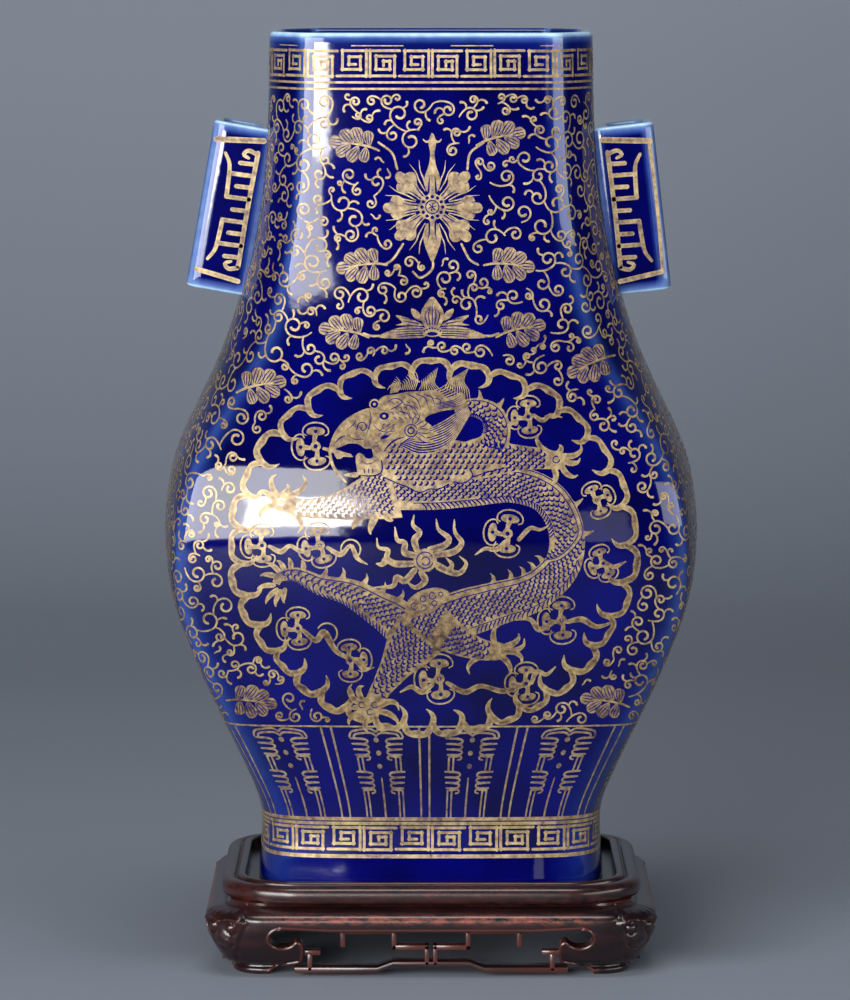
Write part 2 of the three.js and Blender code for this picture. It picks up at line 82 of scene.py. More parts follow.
# Vase: swelling and corners as shares of the way up
LOWER_SWELL = ((0, 0), (0.07, 0.067), (0.245, 0.278), (0.49, 0.602), (0.785, 0.93), (1, 1))
UPPER_SWELL = (
    (0, 1), (0.124, 0.92), (0.206, 0.773), (0.288, 0.587),
    (0.39, 0.39), (0.586, 0.14), (0.77, 0.03), (1, 0),
)
SIDE_BULGE = (
    (0, 1.2), (0.2, 1.8), (0.32, 3), (0.42, 5.6), (0.54, 6.6),
    (0.64, 6), (0.7, 4.6), (0.87, 1.5), (1, 0.8),
)
FRONT_BULGE = ((0, 1.4), (0.1, 1.6), (0.42, 7), (0.6, 4.6), (0.8, 1.7), (1, 1.3))
CORNER_ROUND = ((0, 15), (0.09, 13), (0.22, 8), (0.42, 5), (0.7, 3), (1, 2.6))
CANT_WIDTH = ((0, -12), (0.4, -6), (0.5, 0.5), (0.64, 8), (0.7, 9.4), (0.87, 11), (1, 11.5))

# Heights up and down from a level, with weights, over which its section is eased
EASING = ((-8, 0.1), (-4, 0.24), (0, 0.32), (4, 0.24), (8, 0.1))

# Tube handles
HANDLE_LENGTH = 58.5
HANDLE_WIDTH = 20.7
HANDLE_SINK = 1.9
HANDLE_DEPTH = 34
HANDLE_WALL = 3.2
HANDLE_EDGE_ROUND = 4
HANDLE_LIP_ROUND = 1.2
HANDLE_TOP_BELOW_MOUTH = 32.5
HANDLE_LEANS = {-1: math.radians(10), 1: math.radians(6.5)}

# Gilding
LIFT = 0.045  # of the gilding above the glaze
LAYER = 0.012  # of each later layer above the one before
STAGGER = 0.002  # between neighbours in one layer
STROKE_STEP = 0.6
FILL_STEP = 2.4
FINEST_CAP = 0.16  # a stroke's end has a round cap where it is at least this wide
STEM = 0.78  # the brush's usual line
THIN_STROKE = 0.95  # up to this width a stroke is as bright in its middle as at its edges

# How the surfaces are stepped
LEVEL_STEP = 1.0
TURN_STEPS = 500
QUARTER_STEPS = 400

random_line = random.Random(7)


def mix(a, b, t):
    return a + (b - a) * t


def smooth_through(stations, place):
    """A smooth curve through stations (place, value), read at any number of places."""
    xs, ys = np.array(stations, float).T
    place = np.clip(place, xs[0], xs[-1])
    slopes = np.empty_like(ys)
    slopes[1:-1] = (ys[2:] - ys[:-2]) / (xs[2:] - xs[:-2])
    slopes[0] = (ys[1] - ys[0]) / (xs[1] - xs[0])
    slopes[-1] = (ys[-1] - ys[-2]) / (xs[-1] - xs[-2])
    i = np.clip(np.searchsorted(xs, place) - 1, 0, len(xs) - 2)
    width = xs[i + 1] - xs[i]
    u = (place - xs[i]) / width
    start = u * (1 - u) ** 2 * width * slopes[i]
    end = u * u * (u - 1) * width * slopes[i + 1]
    return mix(ys[i], ys[i + 1], u * u * (3 - 2 * u)) + start + end


def section_at(height):
    """The level section at heights above the foot, eased where its stations meet."""
    eased = {}
    for shift, weight in EASING:
        section = stationed_section(np.clip(height + shift, 0, VASE_HEIGHT))
        for name, value in section.items():
            eased[name] = eased.get(name, 0) + weight * value
    return eased


def stationed_section(height):
    """The vase's level section through its stations: half sizes, bulges and corners."""
    share = np.clip(height / VASE_HEIGHT, 0, 1)
    foot = (1 - np.clip(height / WAIST_HEIGHT, 0, 1)) ** 2
    lower = smooth_through(LOWER_SWELL, (height - WAIST_HEIGHT) / (BELLY_HEIGHT - WAIST_HEIGHT))
    upper = smooth_through(UPPER_SWELL, (height - BELLY_HEIGHT) / (VASE_HEIGHT - BELLY_HEIGHT))

    def half(foot_size, waist, belly, mouth):
        size = np.where(height < WAIST_HEIGHT, mix(waist, foot_size, foot), mix(waist, belly, lower))
        return np.where(height < BELLY_HEIGHT, size, mix(mouth, belly, upper)) / 2

    section = {
        "half_width": half(FOOT_WIDTH, WAIST_WIDTH, BELLY_WIDTH, MOUTH_WIDTH),
        "half_depth": half(FOOT_DEPTH, WAIST_DEPTH, BELLY_DEPTH, MOUTH_DEPTH),
        "side_bulge": smooth_through(SIDE_BULGE, share),
        "front_bulge": smooth_through(FRONT_BULGE, share),
        "round": smooth_through(CORNER_ROUND, share),
        "cant": smooth_through(CANT_WIDTH, share),
    }
    section["corner_x"] = section["half_width"] - section["side_bulge"]
    section["corner_y"] = section["half_depth"] - section["front_bulge"]
    across = (section["corner_x"] - section["cant"]) * math.sin(CANT_TURN)
    section["cant_reach"] = across + section["corner_y"] * math.cos(CANT_TURN)
    return section


def reach_of(section, angle, inset):
    """How far out a section reaches in a direction of its first quarter, +X to +Y."""
    out = np.cos(angle)
    ahead = np.sin(angle)
    rounding = np.maximum(section["round"] - inset / 2, 1)
    power = math.log(2) / -np.log(1 - (1 - math.sqrt(0.5)) * rounding / section["half_depth"])
    low = np.zeros(np.broadcast(section["half_width"], angle).shape)
    high = low + 2 * (BELLY_WIDTH + BELLY_DEPTH)
    for _ in range(34):
        reach = (low + high) / 2
        x = reach * out
        y = reach * ahead
        side = x + section["side_bulge"] * (y / section["corner_y"]) ** 2
        front = y + section["front_bulge"] * (x / section["corner_x"]) ** 2
        cant = x * math.sin(CANT_TURN) + y * math.cos(CANT_TURN)
        total = (side / (section["half_width"] - inset)) ** power
        total = total + (front / (section["half_depth"] - inset)) ** power
        total = total + (cant / (section["cant_reach"] - inset)) ** power
        outside = total > 1
        high = np.where(outside, reach, high)
        low = np.where(outside, low, reach)
    return low


class Skin:
    """The vase's outer skin, addressed by arc length from a face's middle and by height."""

    def __init__(self):
        count = round(VASE_HEIGHT / LEVEL_STEP) + 1
        self.heights = np.linspace(0, VASE_HEIGHT, count)
        turn = np.linspace(0, math.pi / 2, TURN_STEPS + 1)
        reach = reach_of(section_at(self.heights[:, None]), math.pi / 2 - turn, 0)
        x = reach * np.sin(turn)
        y = reach * np.cos(turn)
        steps = np.hypot(np.diff(x), np.diff(y))
        arc = np.concatenate([np.zeros((count, 1)), np.cumsum(steps, axis=1)], axis=1)
        self.quarters = arc[:, -1]
        shares = np.linspace(0, 1, QUARTER_STEPS + 1)
        self.x = np.array([np.interp(shares * a[-1], a, row) for a, row in zip(arc, x)])
        self.y = np.array([np.interp(shares * a[-1], a, row) for a, row in zip(arc, y)])

    def quarter(self, height):
        return np.interp(height, self.heights, self.quarters)

    def look(self, table, share, height):
        """A table's value between its levels and shares."""
        level = np.clip(height / LEVEL_STEP, 0, len(self.heights) - 1.001)
        column = np.clip(share * QUARTER_STEPS, 0, QUARTER_STEPS - 0.001)
        i = level.astype(int)
        j = column.astype(int)
        a = mix(table[i, j], table[i, j + 1], column - j)
        b = mix(table[i + 1, j], table[i + 1, j + 1], column - j)
        return mix(a, b, level - i)

    def at(self, arc, height):
        """Points of the skin; the arc runs to the right from the middle of the front."""
        turns = arc / self.quarter(height)
        quadrant = np.floor(turns).astype(int) % 4
        within = turns - np.floor(turns)
        share = np.where(quadrant % 2 == 0, within, 1 - within)
        x = self.look(self.x, share, height) * np.where(quadrant < 2, 1, -1)
        y = self.look(self.y, share, height) * np.where((quadrant == 0) | (quadrant == 3), -1, 1)
        return np.stack([x, y, height + SEAT], axis=-1)

    def normal(self, arc, height):
        step = 0.4
        along = self.at(arc + step, height) - self.at(arc - step, height)
        up = self.at(arc, height + step) - self.at(arc, height - step)
        normal = np.cross(along, up)
        return normal / np.linalg.norm(normal, axis=-1, keepdims=True)

    def arc_of(self, x, height):
        """The arc at which the skin has this distance from the middle plane, seen from the front."""
        low = np.zeros(np.shape(x))
        high = np.ones(np.shape(x))
        for _ in range(24):
            share = (low + high) / 2
            beyond = self.look(self.x, share, height) > np.abs(x)
            high = np.where(beyond, share, high)
            low = np.where(beyond, low, share)
        return np.sign(x) * low * self.quarter(height)


skin = Skin()
FRONT, RIGHT, BACK, LEFT = range(4)


def seen(face):
    """Lays a drawing on the front or the back as it is seen from straight ahead."""
    def lay(points):
        height = points[:, 1] - SEAT
        arc = skin.arc_of(points[:, 0], height) + face * skin.quarter(height)
        return np.stack([arc, height], axis=1)
    return lay


def wrapped(face):
    """Lays places given by their arc length from the middle of a face and their height."""
    def lay(points):
        arc = points[:, 0] + face * skin.quarter(points[:, 1])
        return np.stack([arc, points[:, 1]], axis=1)
    return lay


def banded(reference, shift=0.0):
    """Lays a band that goes all round, drawn along the ring at a reference height."""
    full = skin.quarter(reference - SEAT)

    def lay(points):
        height = points[:, 1] - SEAT
        return np.stack([(points[:, 0] + shift) * skin.quarter(height) / full, height], axis=1)
    return lay


# Planar drawing


def curve(points, step=STROKE_STEP):
    """A smooth path through points, in even steps."""
    p = np.array(points, float)
    if len(p) == 2:
        return even(p, step)
    ends = np.vstack([2 * p[0] - p[1], p, 2 * p[-1] - p[-2]])
    runs = []
    for i in range(len(p) - 1):
        a, b, c, d = ends[i:i + 4]
        count = max(int(np.hypot(*(c - b)) / step * 1.5), 3)
        t = np.linspace(0, 1, count, endpoint=False)[:, None]
        line = 2 * b + (c - a) * t + (2 * a - 5 * b + 4 * c - d) * t**2
        runs.append((line + (3 * b - a - 3 * c + d) * t**3) / 2)
    return even(np.vstack([*runs, p[-1:]]), step)


def even(points, step=STROKE_STEP):
    """The same path in even steps."""
    p = np.asarray(points, float)
    run = np.concatenate([[0], np.cumsum(np.hypot(*np.diff(p, axis=0).T))])
    count = max(int(round(run[-1] / step)), 1)
    at = np.linspace(0, run[-1], count + 1)
    return np.stack([np.interp(at, run, p[:, 0]), np.interp(at, run, p[:, 1])], axis=1)


def arc_path(centre, radius, start, end, step=STROKE_STEP, flat=1.0):
    """Points on an arc from one angle to another, in degrees."""
    count = max(int(abs(math.radians(end - start)) * radius / step), 5)
    a = np.radians(np.linspace(start, end, count))
    return np.stack([centre[0] + radius * np.cos(a), centre[1] + radius * flat * np.sin(a)], axis=1)


def turned(points, angle, centre=(0, 0)):
    """Points turned by an angle in degrees and moved to a centre."""
    c, s = math.cos(math.radians(angle)), math.sin(math.radians(angle))
    return np.asarray(points, float) @ np.array([[c, s], [-s, c]]) + centre


def sides_of(path):
    """The unit direction along a path and the one to its left."""
    along = np.gradient(path, axis=0)
    along /= np.maximum(np.hypot(*along.T), 1e-9)[:, None]
    return along, np.stack([-along[:, 1], along[:, 0]], axis=1)


def on_vase(laid, lifts):
    """Puts points given by arc and height on the vase, proud of its glaze."""
    return skin.at(*laid.T) + skin.normal(*laid.T) * lifts


class Gilding:
    """Strokes and filled shapes painted on the vase's skin, gathered as one thin mesh."""

    def __init__(self, name, lay):
        self.name = name
        self.lay = lay
        self.grounds = ()
        self.layer = 0
        self.bare = 0
        self.points = []
        self.faces = []
        self.inner = []
        self.bares = []
        self.lifts = []
        self.count = 0
        self.view()

    def view(self, place=(0, 0), size=1.0, turn=0.0, flip=1, down=False):
        """Sets where the next drawing goes, how large it is, and whether its Y runs down."""
        c, s = math.cos(math.radians(turn)), math.sin(math.radians(turn))
        across = np.array([c, s]) * size * flip
        up = np.array([-s, c]) * size * (-1 if down else 1)
        self.matrix = np.array([across, up])
        self.place = np.array(place, float)
        self.unit = size
        self.flipped = (flip < 0) != down

    def put(self, points, faces, inner):
        laid = self.lay(np.asarray(points, float) @ self.matrix + self.place)
        for ground in self.grounds:
            ground.stamp(laid)
        self.points.append(laid)
        if self.flipped:
            faces = [face[::-1] for face in faces]
        self.faces.extend([tuple(i + self.count for i in face) for face in faces])
        self.inner.append(np.broadcast_to(np.asarray(inner, float), len(laid)))
        self.bares.append(np.full(len(laid), self.bare))
        lift = LIFT + LAYER * (self.layer + 0.5 * self.bare) + STAGGER * (len(self.points) % 4)
        self.lifts.append(np.full(len(laid), lift))
        self.count += len(laid)

    def stroke(self, path, widths=STEM, smooth=True, step=STROKE_STEP):
        """A brush line through points; its widths, in millimetres, are spread along it."""
        path = (curve if smooth else even)(path, step / self.unit)
        if len(path) < 2:
            return
        widths = np.atleast_1d(np.asarray(widths, float)) / self.unit
        share = np.linspace(0, 1, len(path))
        half = np.interp(share, np.linspace(0, 1, len(widths)), widths)[:, None] / 2
        along, left = sides_of(path)
        n = len(path)
        points = [path + left * half, path, path - left * half]
        faces = []
        for i in range(n - 1):
            faces.append((i, n + i, n + i + 1, i + 1))
            faces.append((n + i, 2 * n + i, 2 * n + i + 1, n + i + 1))
        count = 3 * n
        for end, way in ((0, -1), (n - 1, 1)):
            if half[end, 0] * self.unit < FINEST_CAP:
                continue
            angles = np.linspace(0, math.pi, 6)[1:-1]
            reach = half[end]
            cap = [
                path[end] + reach * (left[end] * math.cos(a) + way * along[end] * math.sin(a))
                for a in angles
            ]
            rim = [end, *range(count, count + len(cap)), 2 * n + end]
            for a, b in zip(rim, rim[1:]):
                faces.append((n + end, b, a) if way > 0 else (n + end, a, b))
            points.append(np.array(cap))
            count += len(cap)
        inner = np.zeros(count)
        inner[n:2 * n] = np.clip(2 * half[:, 0] * self.unit - THIN_STROKE, 0, 1)
        self.put(np.vstack(points), faces, inner)

    def strip(self, path, widths):
        """A wide band along a path, its widths in the drawing's own units."""
        path = curve(path, 1.4 / self.unit)
        n = len(path)
        spread = np.interp(np.linspace(0, 1, n), np.linspace(0, 1, len(widths)), widths)
        _, left = sides_of(path)
        columns = int(spread.max() * self.unit / FILL_STEP) + 2
        across = np.linspace(0.5, -0.5, columns)
        reach = left[:, None] * spread[:, None, None] * across[None, :, None]
        points = (path[:, None] + reach).reshape(-1, 2)
        faces = []
        for i in range(n - 1):
            for j in range(columns - 1):
                a = i * columns + j
                faces.append((a, a + 1, a + columns + 1, a + columns))
        self.put(points, faces, 0.5)
        return path, left, spread

    def fill(self, outline, inner=0.5):
        """A filled shape."""
        flat = np.asarray(outline, float)
        triangles = []
        for a, b, c in tessellate_polygon([[Vector((x, y, 0)) for x, y in flat]]):
            (ax, ay), (bx, by), (cx, cy) = flat[a], flat[b], flat[c]
            turn = (bx - ax) * (cy - ay) - (by - ay) * (cx - ax)
            if abs(turn) > 1e-9:
                triangles.append((a, b, c) if turn > 0 else (a, c, b))
        points = [tuple(p) for p in flat]
        known = {}

        def middle(a, b):
            key = (min(a, b), max(a, b))
            if key not in known:
                known[key] = len(points)
                points.append(tuple((np.array(points[a]) + np.array(points[b])) / 2))
            return known[key]

        limit = FILL_STEP / self.unit
        done = []
        while triangles:
            a, b, c = triangles.pop()
            sides = [math.dist(points[p], points[q]) for p, q in ((a, b), (b, c), (c, a))]
            longest = max(sides)
            if longest <= limit:
                done.append((a, b, c))
                continue
            while sides[0] < longest:
                a, b, c = b, c, a
                sides = sides[1:] + sides[:1]
            m = middle(a, b)
            triangles += [(a, m, c), (m, b, c)]
        self.put(np.array(points), done, inner)

    def shape(self, outline):
        """A filled shape with a smooth closed outline."""
        p = np.array(outline, float)
        around = curve(np.vstack([p[-2:], p, p[:2]]), 0.7 / self.unit)
        start = np.hypot(*(around - p[0]).T)
        half = len(around) // 2
        first = int(np.argmin(start[:half]))
        last = half + int(np.argmin(start[half:]))
        self.fill(around[first:last])

    def dot(self, centre, radius, flat=1.0):
        """A round or oval spot, its radius in the drawing's own units."""
        self.fill(arc_path(centre, radius, 0, 337, step=radius * 0.5, flat=flat), inner=0.3)

    def marks(self):
        """Turns to the dark lines that are left bare in the gilding drawn last."""
        self.bare = 1

    def over(self):
        """Turns to gilding that lies over all that was drawn before."""
        self.bare = 0
        self.layer += 1

    def made(self, material, surface=on_vase):
        """Makes the piece from all that was drawn."""
        points = surface(np.vstack(self.points), np.concatenate(self.lifts)[:, None])
        piece = mesh_piece(self.name, points, self.faces, material)
        float_attribute(piece, "inner", np.concatenate(self.inner))
        float_attribute(piece, "bare", np.concatenate(self.bares))


def object_of(name, data):
    """An object in the scene."""
    made = bpy.data.objects.new(name, data)
    bpy.context.scene.collection.objects.link(made)
    return made


def mesh_object(name, points, faces):
    mesh = bpy.data.meshes.new(name)
    mesh.from_pydata(np.asarray(points).tolist(), [], faces)
    return object_of(name, mesh)


def mesh_piece(name, points, faces, material):
    """An object from points in millimetres, which rides on the one body."""
    piece = mesh_object(name, np.asarray(points) * MM, faces)
    piece.data.validate()
    piece.data.shade_smooth()
    piece.data.materials.append(material)
    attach(piece, "root")
    return piece


def float_attribute(piece, name, values):
    """A value for each point of a piece, which its material reads."""
    shade = piece.data.attributes.new(name, "FLOAT", "POINT")
    shade.data.foreach_set("value", np.asarray(values, np.float32))


# The vase's glazed body

RING_STEPS = 64  # points in a quarter of a ring
OUTSIDE_STEP = 2.0
INSIDE_STEP = 5.0
LIP_PALE = 1.45  # how far down the lip's pale edge reaches
LIP_FADE = 4.5  # and its fainter fringe


def ring_angles(height):
    """Directions of a ring's points in its first quarter, closest together on its corners."""
    shares = np.linspace(0, 1, QUARTER_STEPS + 1)
    x = skin.look(skin.x, shares, height)
    y = skin.look(skin.y, shares, height)
    heading = np.unwrap(np.arctan2(np.diff(y), np.diff(x)))
    turning = np.concatenate([[0, 0], np.cumsum(np.abs(np.diff(heading)))])
    measure = shares + turning / max(turning[-1], 1e-9)
    at = np.interp(np.linspace(0, measure[-1], RING_STEPS + 1), measure, shares)
    return np.arctan2(np.interp(at, shares, y), np.interp(at, shares, x))[::-1]


def ring_of(height, inset=0.0):
    """A closed ring of the vase at a height above its foot, inset from its outer skin."""
    quarter = ring_angles(np.clip(height, 0, VASE_HEIGHT - 0.01))
    reach = reach_of(section_at(np.array(float(height))), quarter, inset)
    x = reach * np.cos(quarter)
    y = reach * np.sin(quarter)
    xs = np.concatenate([x[:-1], -x[:0:-1], -x[:-1], x[:0:-1]])
    ys = np.concatenate([y[:-1], y[:0:-1], -y[:-1], -y[:0:-1]])
    return np.stack([xs, ys, np.full(len(xs), height + SEAT)], axis=1)


def skinned(rings, capped=True):
    """Points and faces of a surface over rings of equally many points, closed at its two ends."""
    n = len(rings[0])
    points = list(np.vstack(rings))
    faces = []
    for i in range(len(rings) - 1 if capped else len(rings)):
        a = i * n
        b = (i + 1) % len(rings) * n
        for j in range(n):
            k = (j + 1) % n
            faces.append((a + j, a + k, b + k, b + j))
    if capped:
        last = (len(rings) - 1) * n
        points += [rings[0].mean(axis=0), rings[-1].mean(axis=0)]
        for j in range(n):
            k = (j + 1) % n
            faces.append((len(points) - 2, k, j))
            faces.append((len(points) - 1, last + j, last + k))
    return np.array(points), faces


def heights_between(low, high, step):
    return np.linspace(low, high, max(round((high - low) / step), 1) + 1)


def vase_body(material):
    """The hollow vase: foot recess, foot ring, outside, round lip, inside and floor."""
    ring_inset = FOOT_EDGE_ROUND + FOOT_RING_WIDTH
    rings = [
        ring_of(FOOT_RECESS, ring_inset + 12),
        ring_of(FOOT_RECESS, ring_inset + 2),
        ring_of(FOOT_RECESS - 1, ring_inset + 0.6),
        ring_of(0.8, ring_inset),
        ring_of(0.2, ring_inset - 0.5),
        ring_of(0, ring_inset - 1.2),
        ring_of(0, FOOT_EDGE_ROUND),
        ring_of(0.35, FOOT_EDGE_ROUND * 0.35),
    ]
    rounded = VASE_HEIGHT - LIP_ROUND
    outside = heights_between(FOOT_EDGE_ROUND, rounded, OUTSIDE_STEP)
    rings += [ring_of(h) for h in outside]
    for turn in (25, 50, 70, 90):
        a = math.radians(turn)
        inset = LIP_ROUND * (1 - math.cos(a))
        rings.append(ring_of(rounded + LIP_ROUND * math.sin(a), inset))
    inner_start = sum(len(ring) for ring in rings)
    for turn in (70, 45, 15):
        a = math.radians(turn)
        inset = WALL - LIP_ROUND * (1 - math.cos(a))
        rings.append(ring_of(rounded + LIP_ROUND * math.sin(a), inset))
    inside = heights_between(FLOOR_HEIGHT + WALL, rounded, INSIDE_STEP)[::-1]
    rings += [ring_of(h, WALL) for h in inside]
    rings += [ring_of(FLOOR_HEIGHT + WALL * 0.3, WALL * 1.5), ring_of(FLOOR_HEIGHT, WALL * 2.5)]
    rings.append(ring_of(FLOOR_HEIGHT, WALL * 6))
    points, faces = skinned(rings)
    piece = mesh_piece("porcelain_vase", points, faces, material)
    below_lip = VASE_HEIGHT + SEAT - points[:, 2]
    thin = 0.78 * np.exp(-(below_lip / LIP_PALE) ** 2) + 0.12 * np.exp(-below_lip / LIP_FADE)
    thin[inner_start:] *= 0.15
    for i, ring in enumerate(rings):
        n = len(ring)
        before = ring - np.roll(ring, 1, axis=0)
        after = np.roll(ring, -1, axis=0) - ring
        turn = np.arctan2(
            before[:, 0] * after[:, 1] - before[:, 1] * after[:, 0], (before * after).sum(axis=1)
        )
        bend = turn / (np.linalg.norm(before, axis=1) + 1e-6)
        thin[i * n:(i + 1) * n] += 0.2 * np.clip(bend * 7, 0, 1)
    float_attribute(piece, "thin", np.clip(thin, 0, 1))
    return piece


def walk_round(half_x, half_y, rounding, corner_steps, side_steps):
    """Points and outward directions round a rounded rectangle, anticlockwise from above."""
    points = []
    outs = []
    for q, (sx, sy) in enumerate(((1, 1), (-1, 1), (-1, -1), (1, -1))):
        centre = np.array([sx * (half_x - rounding), sy * (half_y - rounding)])
        for i in range(corner_steps + 1):
            a = (q + i / corner_steps) * math.pi / 2
            outs.append(np.array([math.cos(a), math.sin(a)]))
            points.append(centre + outs[-1] * rounding)
        span = 2 * ((half_x if q % 2 == 0 else half_y) - rounding)
        onward = np.array([-outs[-1][1], outs[-1][0]])
        corner_end = points[-1]
        for i in range(1, side_steps):
            outs.append(outs[-1])
            points.append(corner_end + onward * span * i / side_steps)
    return np.array(points), np.array(outs)


def level_ring(half_x, half_y, rounding, z, shift=0.0):
    """A level rounded rectangle of points, for the handles."""
    points, _ = walk_round(half_x, half_y, rounding, 8, 10)
    return np.column_stack([points + (shift, 0), np.full(len(points), z)])


class Handle:
    """Where one tube handle stands: its turn about its middle and its place beside the neck."""

    def __init__(self, side):
        self.side = side
        self.word = "left" if side < 0 else "right"
        self.lean = HANDLE_LEANS[side]
        self.width = HANDLE_SINK + HANDLE_WIDTH
        top = VASE_HEIGHT - HANDLE_TOP_BELOW_MOUTH
        self.middle = top - HANDLE_LENGTH / 2 * math.cos(self.lean)
        half = float(section_at(np.array(self.middle))["half_width"])
        self.centre = side * (half - HANDLE_SINK + self.width / 2)

    def placed(self, points):
        """Points drawn upright about the origin, with +X away from the neck."""
        x, y, z = np.asarray(points, float).T
        x = x * self.side
        turn = -self.side * self.lean
        across = x * math.cos(turn) + z * math.sin(turn)
        up = -x * math.sin(turn) + z * math.cos(turn)
        return np.stack([across + self.centre, y, up + SEAT + self.middle], axis=1)


def tube_handle(side, material):
    """A square tube with rounded edges and ends, its bore nearer to its outer wall."""
    handle = Handle(side)
    half_x = handle.width / 2
    half_y = HANDLE_DEPTH / 2
    half_z = HANDLE_LENGTH / 2
    inner_wall = HANDLE_WALL + WALL
    bore_x = (handle.width - HANDLE_WALL - inner_wall) / 2
    bore_y = half_y - HANDLE_WALL
    shift = (inner_wall - HANDLE_WALL) / 2
    lip = HANDLE_LIP_ROUND
    rings = []
    tones = []

    def outer(inset, z, tone):
        rings.append(level_ring(half_x - inset, half_y - inset, HANDLE_EDGE_ROUND - inset, z))
        tones.append(tone)

    def bore(grow, z, tone):
        rounding = HANDLE_EDGE_ROUND - lip + grow
        rings.append(level_ring(bore_x + grow, bore_y + grow, rounding, z, shift))
        tones.append(tone)

    for z in heights_between(lip - half_z, half_z - lip, 3.0):
        outer(0, z, 0.6 * math.exp(-(((half_z - abs(z)) / 1.8) ** 2)))
    turns = [math.radians(degrees) for degrees in (30, 60, 90)]
    rims = [(lip * (1 - math.cos(a)), half_z - lip + lip * math.sin(a)) for a in turns]
    edges = [(lip, half_z), (lip * 0.3, half_z - lip * 0.3), (0, half_z - lip)]
    for inset, z in rims:
        outer(inset, z, 0.75)
    for grow, z in edges:
        bore(grow, z, 0.5)
    for z in heights_between(half_z - 2 * lip, 2 * lip - half_z, 6.0):
        bore(0, z, 0.1)
    for grow, z in edges[::-1]:
        bore(grow, -z, 0.5)
    for inset, z in rims[::-1]:
        outer(inset, -z, 0.75)
    points, faces = skinned(rings, capped=False)
    count = len(rings[0])
    tone = np.repeat(tones, count)
    x, y, _ = points.T
    from_corner = np.hypot(np.abs(x) - half_x, np.abs(y) - half_y)
    edge = np.exp(-((from_corner / 3.4) ** 2)) * (np.abs(x) + np.abs(y) > bore_x + half_y)
    tone = np.clip(np.maximum(tone, 0.5 * edge), 0, 1)
    placed = handle.placed(points)
    if side < 0:
        faces = [face[::-1] for face in faces]
    piece = mesh_piece(f"{handle.word}_tube_handle", placed, faces, material)
    float_attribute(piece, "thin", tone)
    return piece


# Bands round the vase

RIM_FRET = (309.3, 317.9)
FOOT_FRET = (42.3, 49.9)
FRET_PAIRS = 16
FRET_WIDTHS = (0.9, 0.95)  # of the brush, at the rim and at the foot
GOLD_LINES = ((307.1, 0.75), (304.9, 0.7), (51.4, 1.1), (39.9, 1.3))  # height and width
RUBBED_LINE = 319.6  # a line over the rim's fret, of which pieces are left
FADED = 0.3  # how far the glaze shows through the lappets' gold where wear has thinned it
LAPPETS = 14
LAPPET_TOP = 86.4
LAPPET_FOOT = 53.3

# One key of a fret as (across, up) shares of its cell, from its inner end outwards, and the next
# key from its outer end inwards
KEY_IN = (
    (0.45, 0.42), (0.45, 0.58), (0.66, 0.58), (0.66, 0.26), (0.2, 0.26), (0.2, 0.78),
    (0.82, 0.78), (0.82, 0), (0, 0), (0, 1), (0.96, 1),
)
KEY_OUT = (
    (0, 0), (0.96, 0), (0.96, 1), (0.16, 1), (0.16, 0.26), (0.76, 0.26),
    (0.76, 0.76), (0.38, 0.76), (0.38, 0.46), (0.58, 0.46),
)


def angular(gilding, path, width):
    """A line of straight strokes with sharp corners."""
    p = np.array(path, float)
    for a, b in zip(p, p[1:]):
        reach = (b - a) / max(np.hypot(*(b - a)), 1e-6) * width * 0.32
        gilding.stroke([a - reach, b + reach], width, smooth=False)


def key_fret(gilding, low, high, width):
    """A band of squared spirals, joined in pairs."""
    gilding.lay = banded((low + high) / 2)
    pitch = 4 * skin.quarter((low + high) / 2 - SEAT) / FRET_PAIRS
    cell = pitch / 2
    for i in range(FRET_PAIRS):
        for start, key, shift in ((0, KEY_IN, 0.04), (1, KEY_OUT, 0.0)):
            jitter = random_line.uniform(-0.12, 0.12)
            path = [
                ((i * 2 + start + shift + x * 0.96) * cell, low + y * (high - low) + jitter)
                for x, y in key
            ]
            angular(gilding, path, width)


def gold_line(gilding, height, width, start=0.0, end=1.0):
    """A level line round the vase, or a share of the way round."""
    gilding.lay = banded(height)
    round_it = 4 * skin.quarter(height - SEAT)
    steps = 24
    path = [(round_it * mix(start, end, i / steps), height) for i in range(steps + 1)]
    gilding.stroke(path, width, smooth=False)


def lappet(gilding, middle):
    """One hanging panel: a bracket, two stems of scroll fingers, dots and a central line."""
    top = LAPPET_TOP
    for side in (-1, 1):
        for lift in (0.0, 1.5):
            gilding.stroke([
                (middle, top - 1.6 - lift), (middle + side * 1.8, top - 0.5 - lift),
                (middle + side * (5 + lift), top - 0.8 - lift),
                (middle + side * (8.4 - lift * 0.4), top - 1.6 - lift),
                (middle + side * (9.4 - lift), top - 3.4 - lift * 0.4),
            ], 0.75)
        for first, count in ((4.0, 4), (16.2, 4)):
            pitch = 2.0
            for i in range(count):
                y = top - first - i * pitch
                reach = 9.2 - 0.25 * i
                gilding.stroke([
                    (middle + side * reach, y), (middle + side * 5.2, y - 0.15),
                    (middle + side * 3.4, y - 0.7), (middle + side * 3.5, y - 1.6),
                    (middle + side * 4.6, y - pitch + 0.1),
                ], (0.6, 0.8, 0.85, 0.8, 0.6))
            y = top - first - (count - 0.6) * pitch
            foot = top - 16 if first < 10 else LAPPET_FOOT
            for x in (6.2, 7.9):
                gilding.stroke([(middle + side * x, y), (middle + side * x, foot)], 0.7)
            gilding.stroke([(middle + side * 4.6, y + 0.2), (middle + side * 7.9, y)], 0.7)
        edge = middle + side * (lappet_pitch() / 2 - 1.75)
        gilding.stroke([(edge, top), (edge, LAPPET_FOOT)], 0.75)
    for drop in (4.6, 9.4, 14.2):
        gilding.dot((middle + random_line.uniform(-0.2, 0.2), top - drop), 0.95)
    gilding.stroke([(middle, top - 18.6), (middle, LAPPET_FOOT)], (0.5, 0.8, 0.8))


def lappet_pitch():
    return 4 * skin.quarter(LAPPET_TOP - SEAT) / LAPPETS


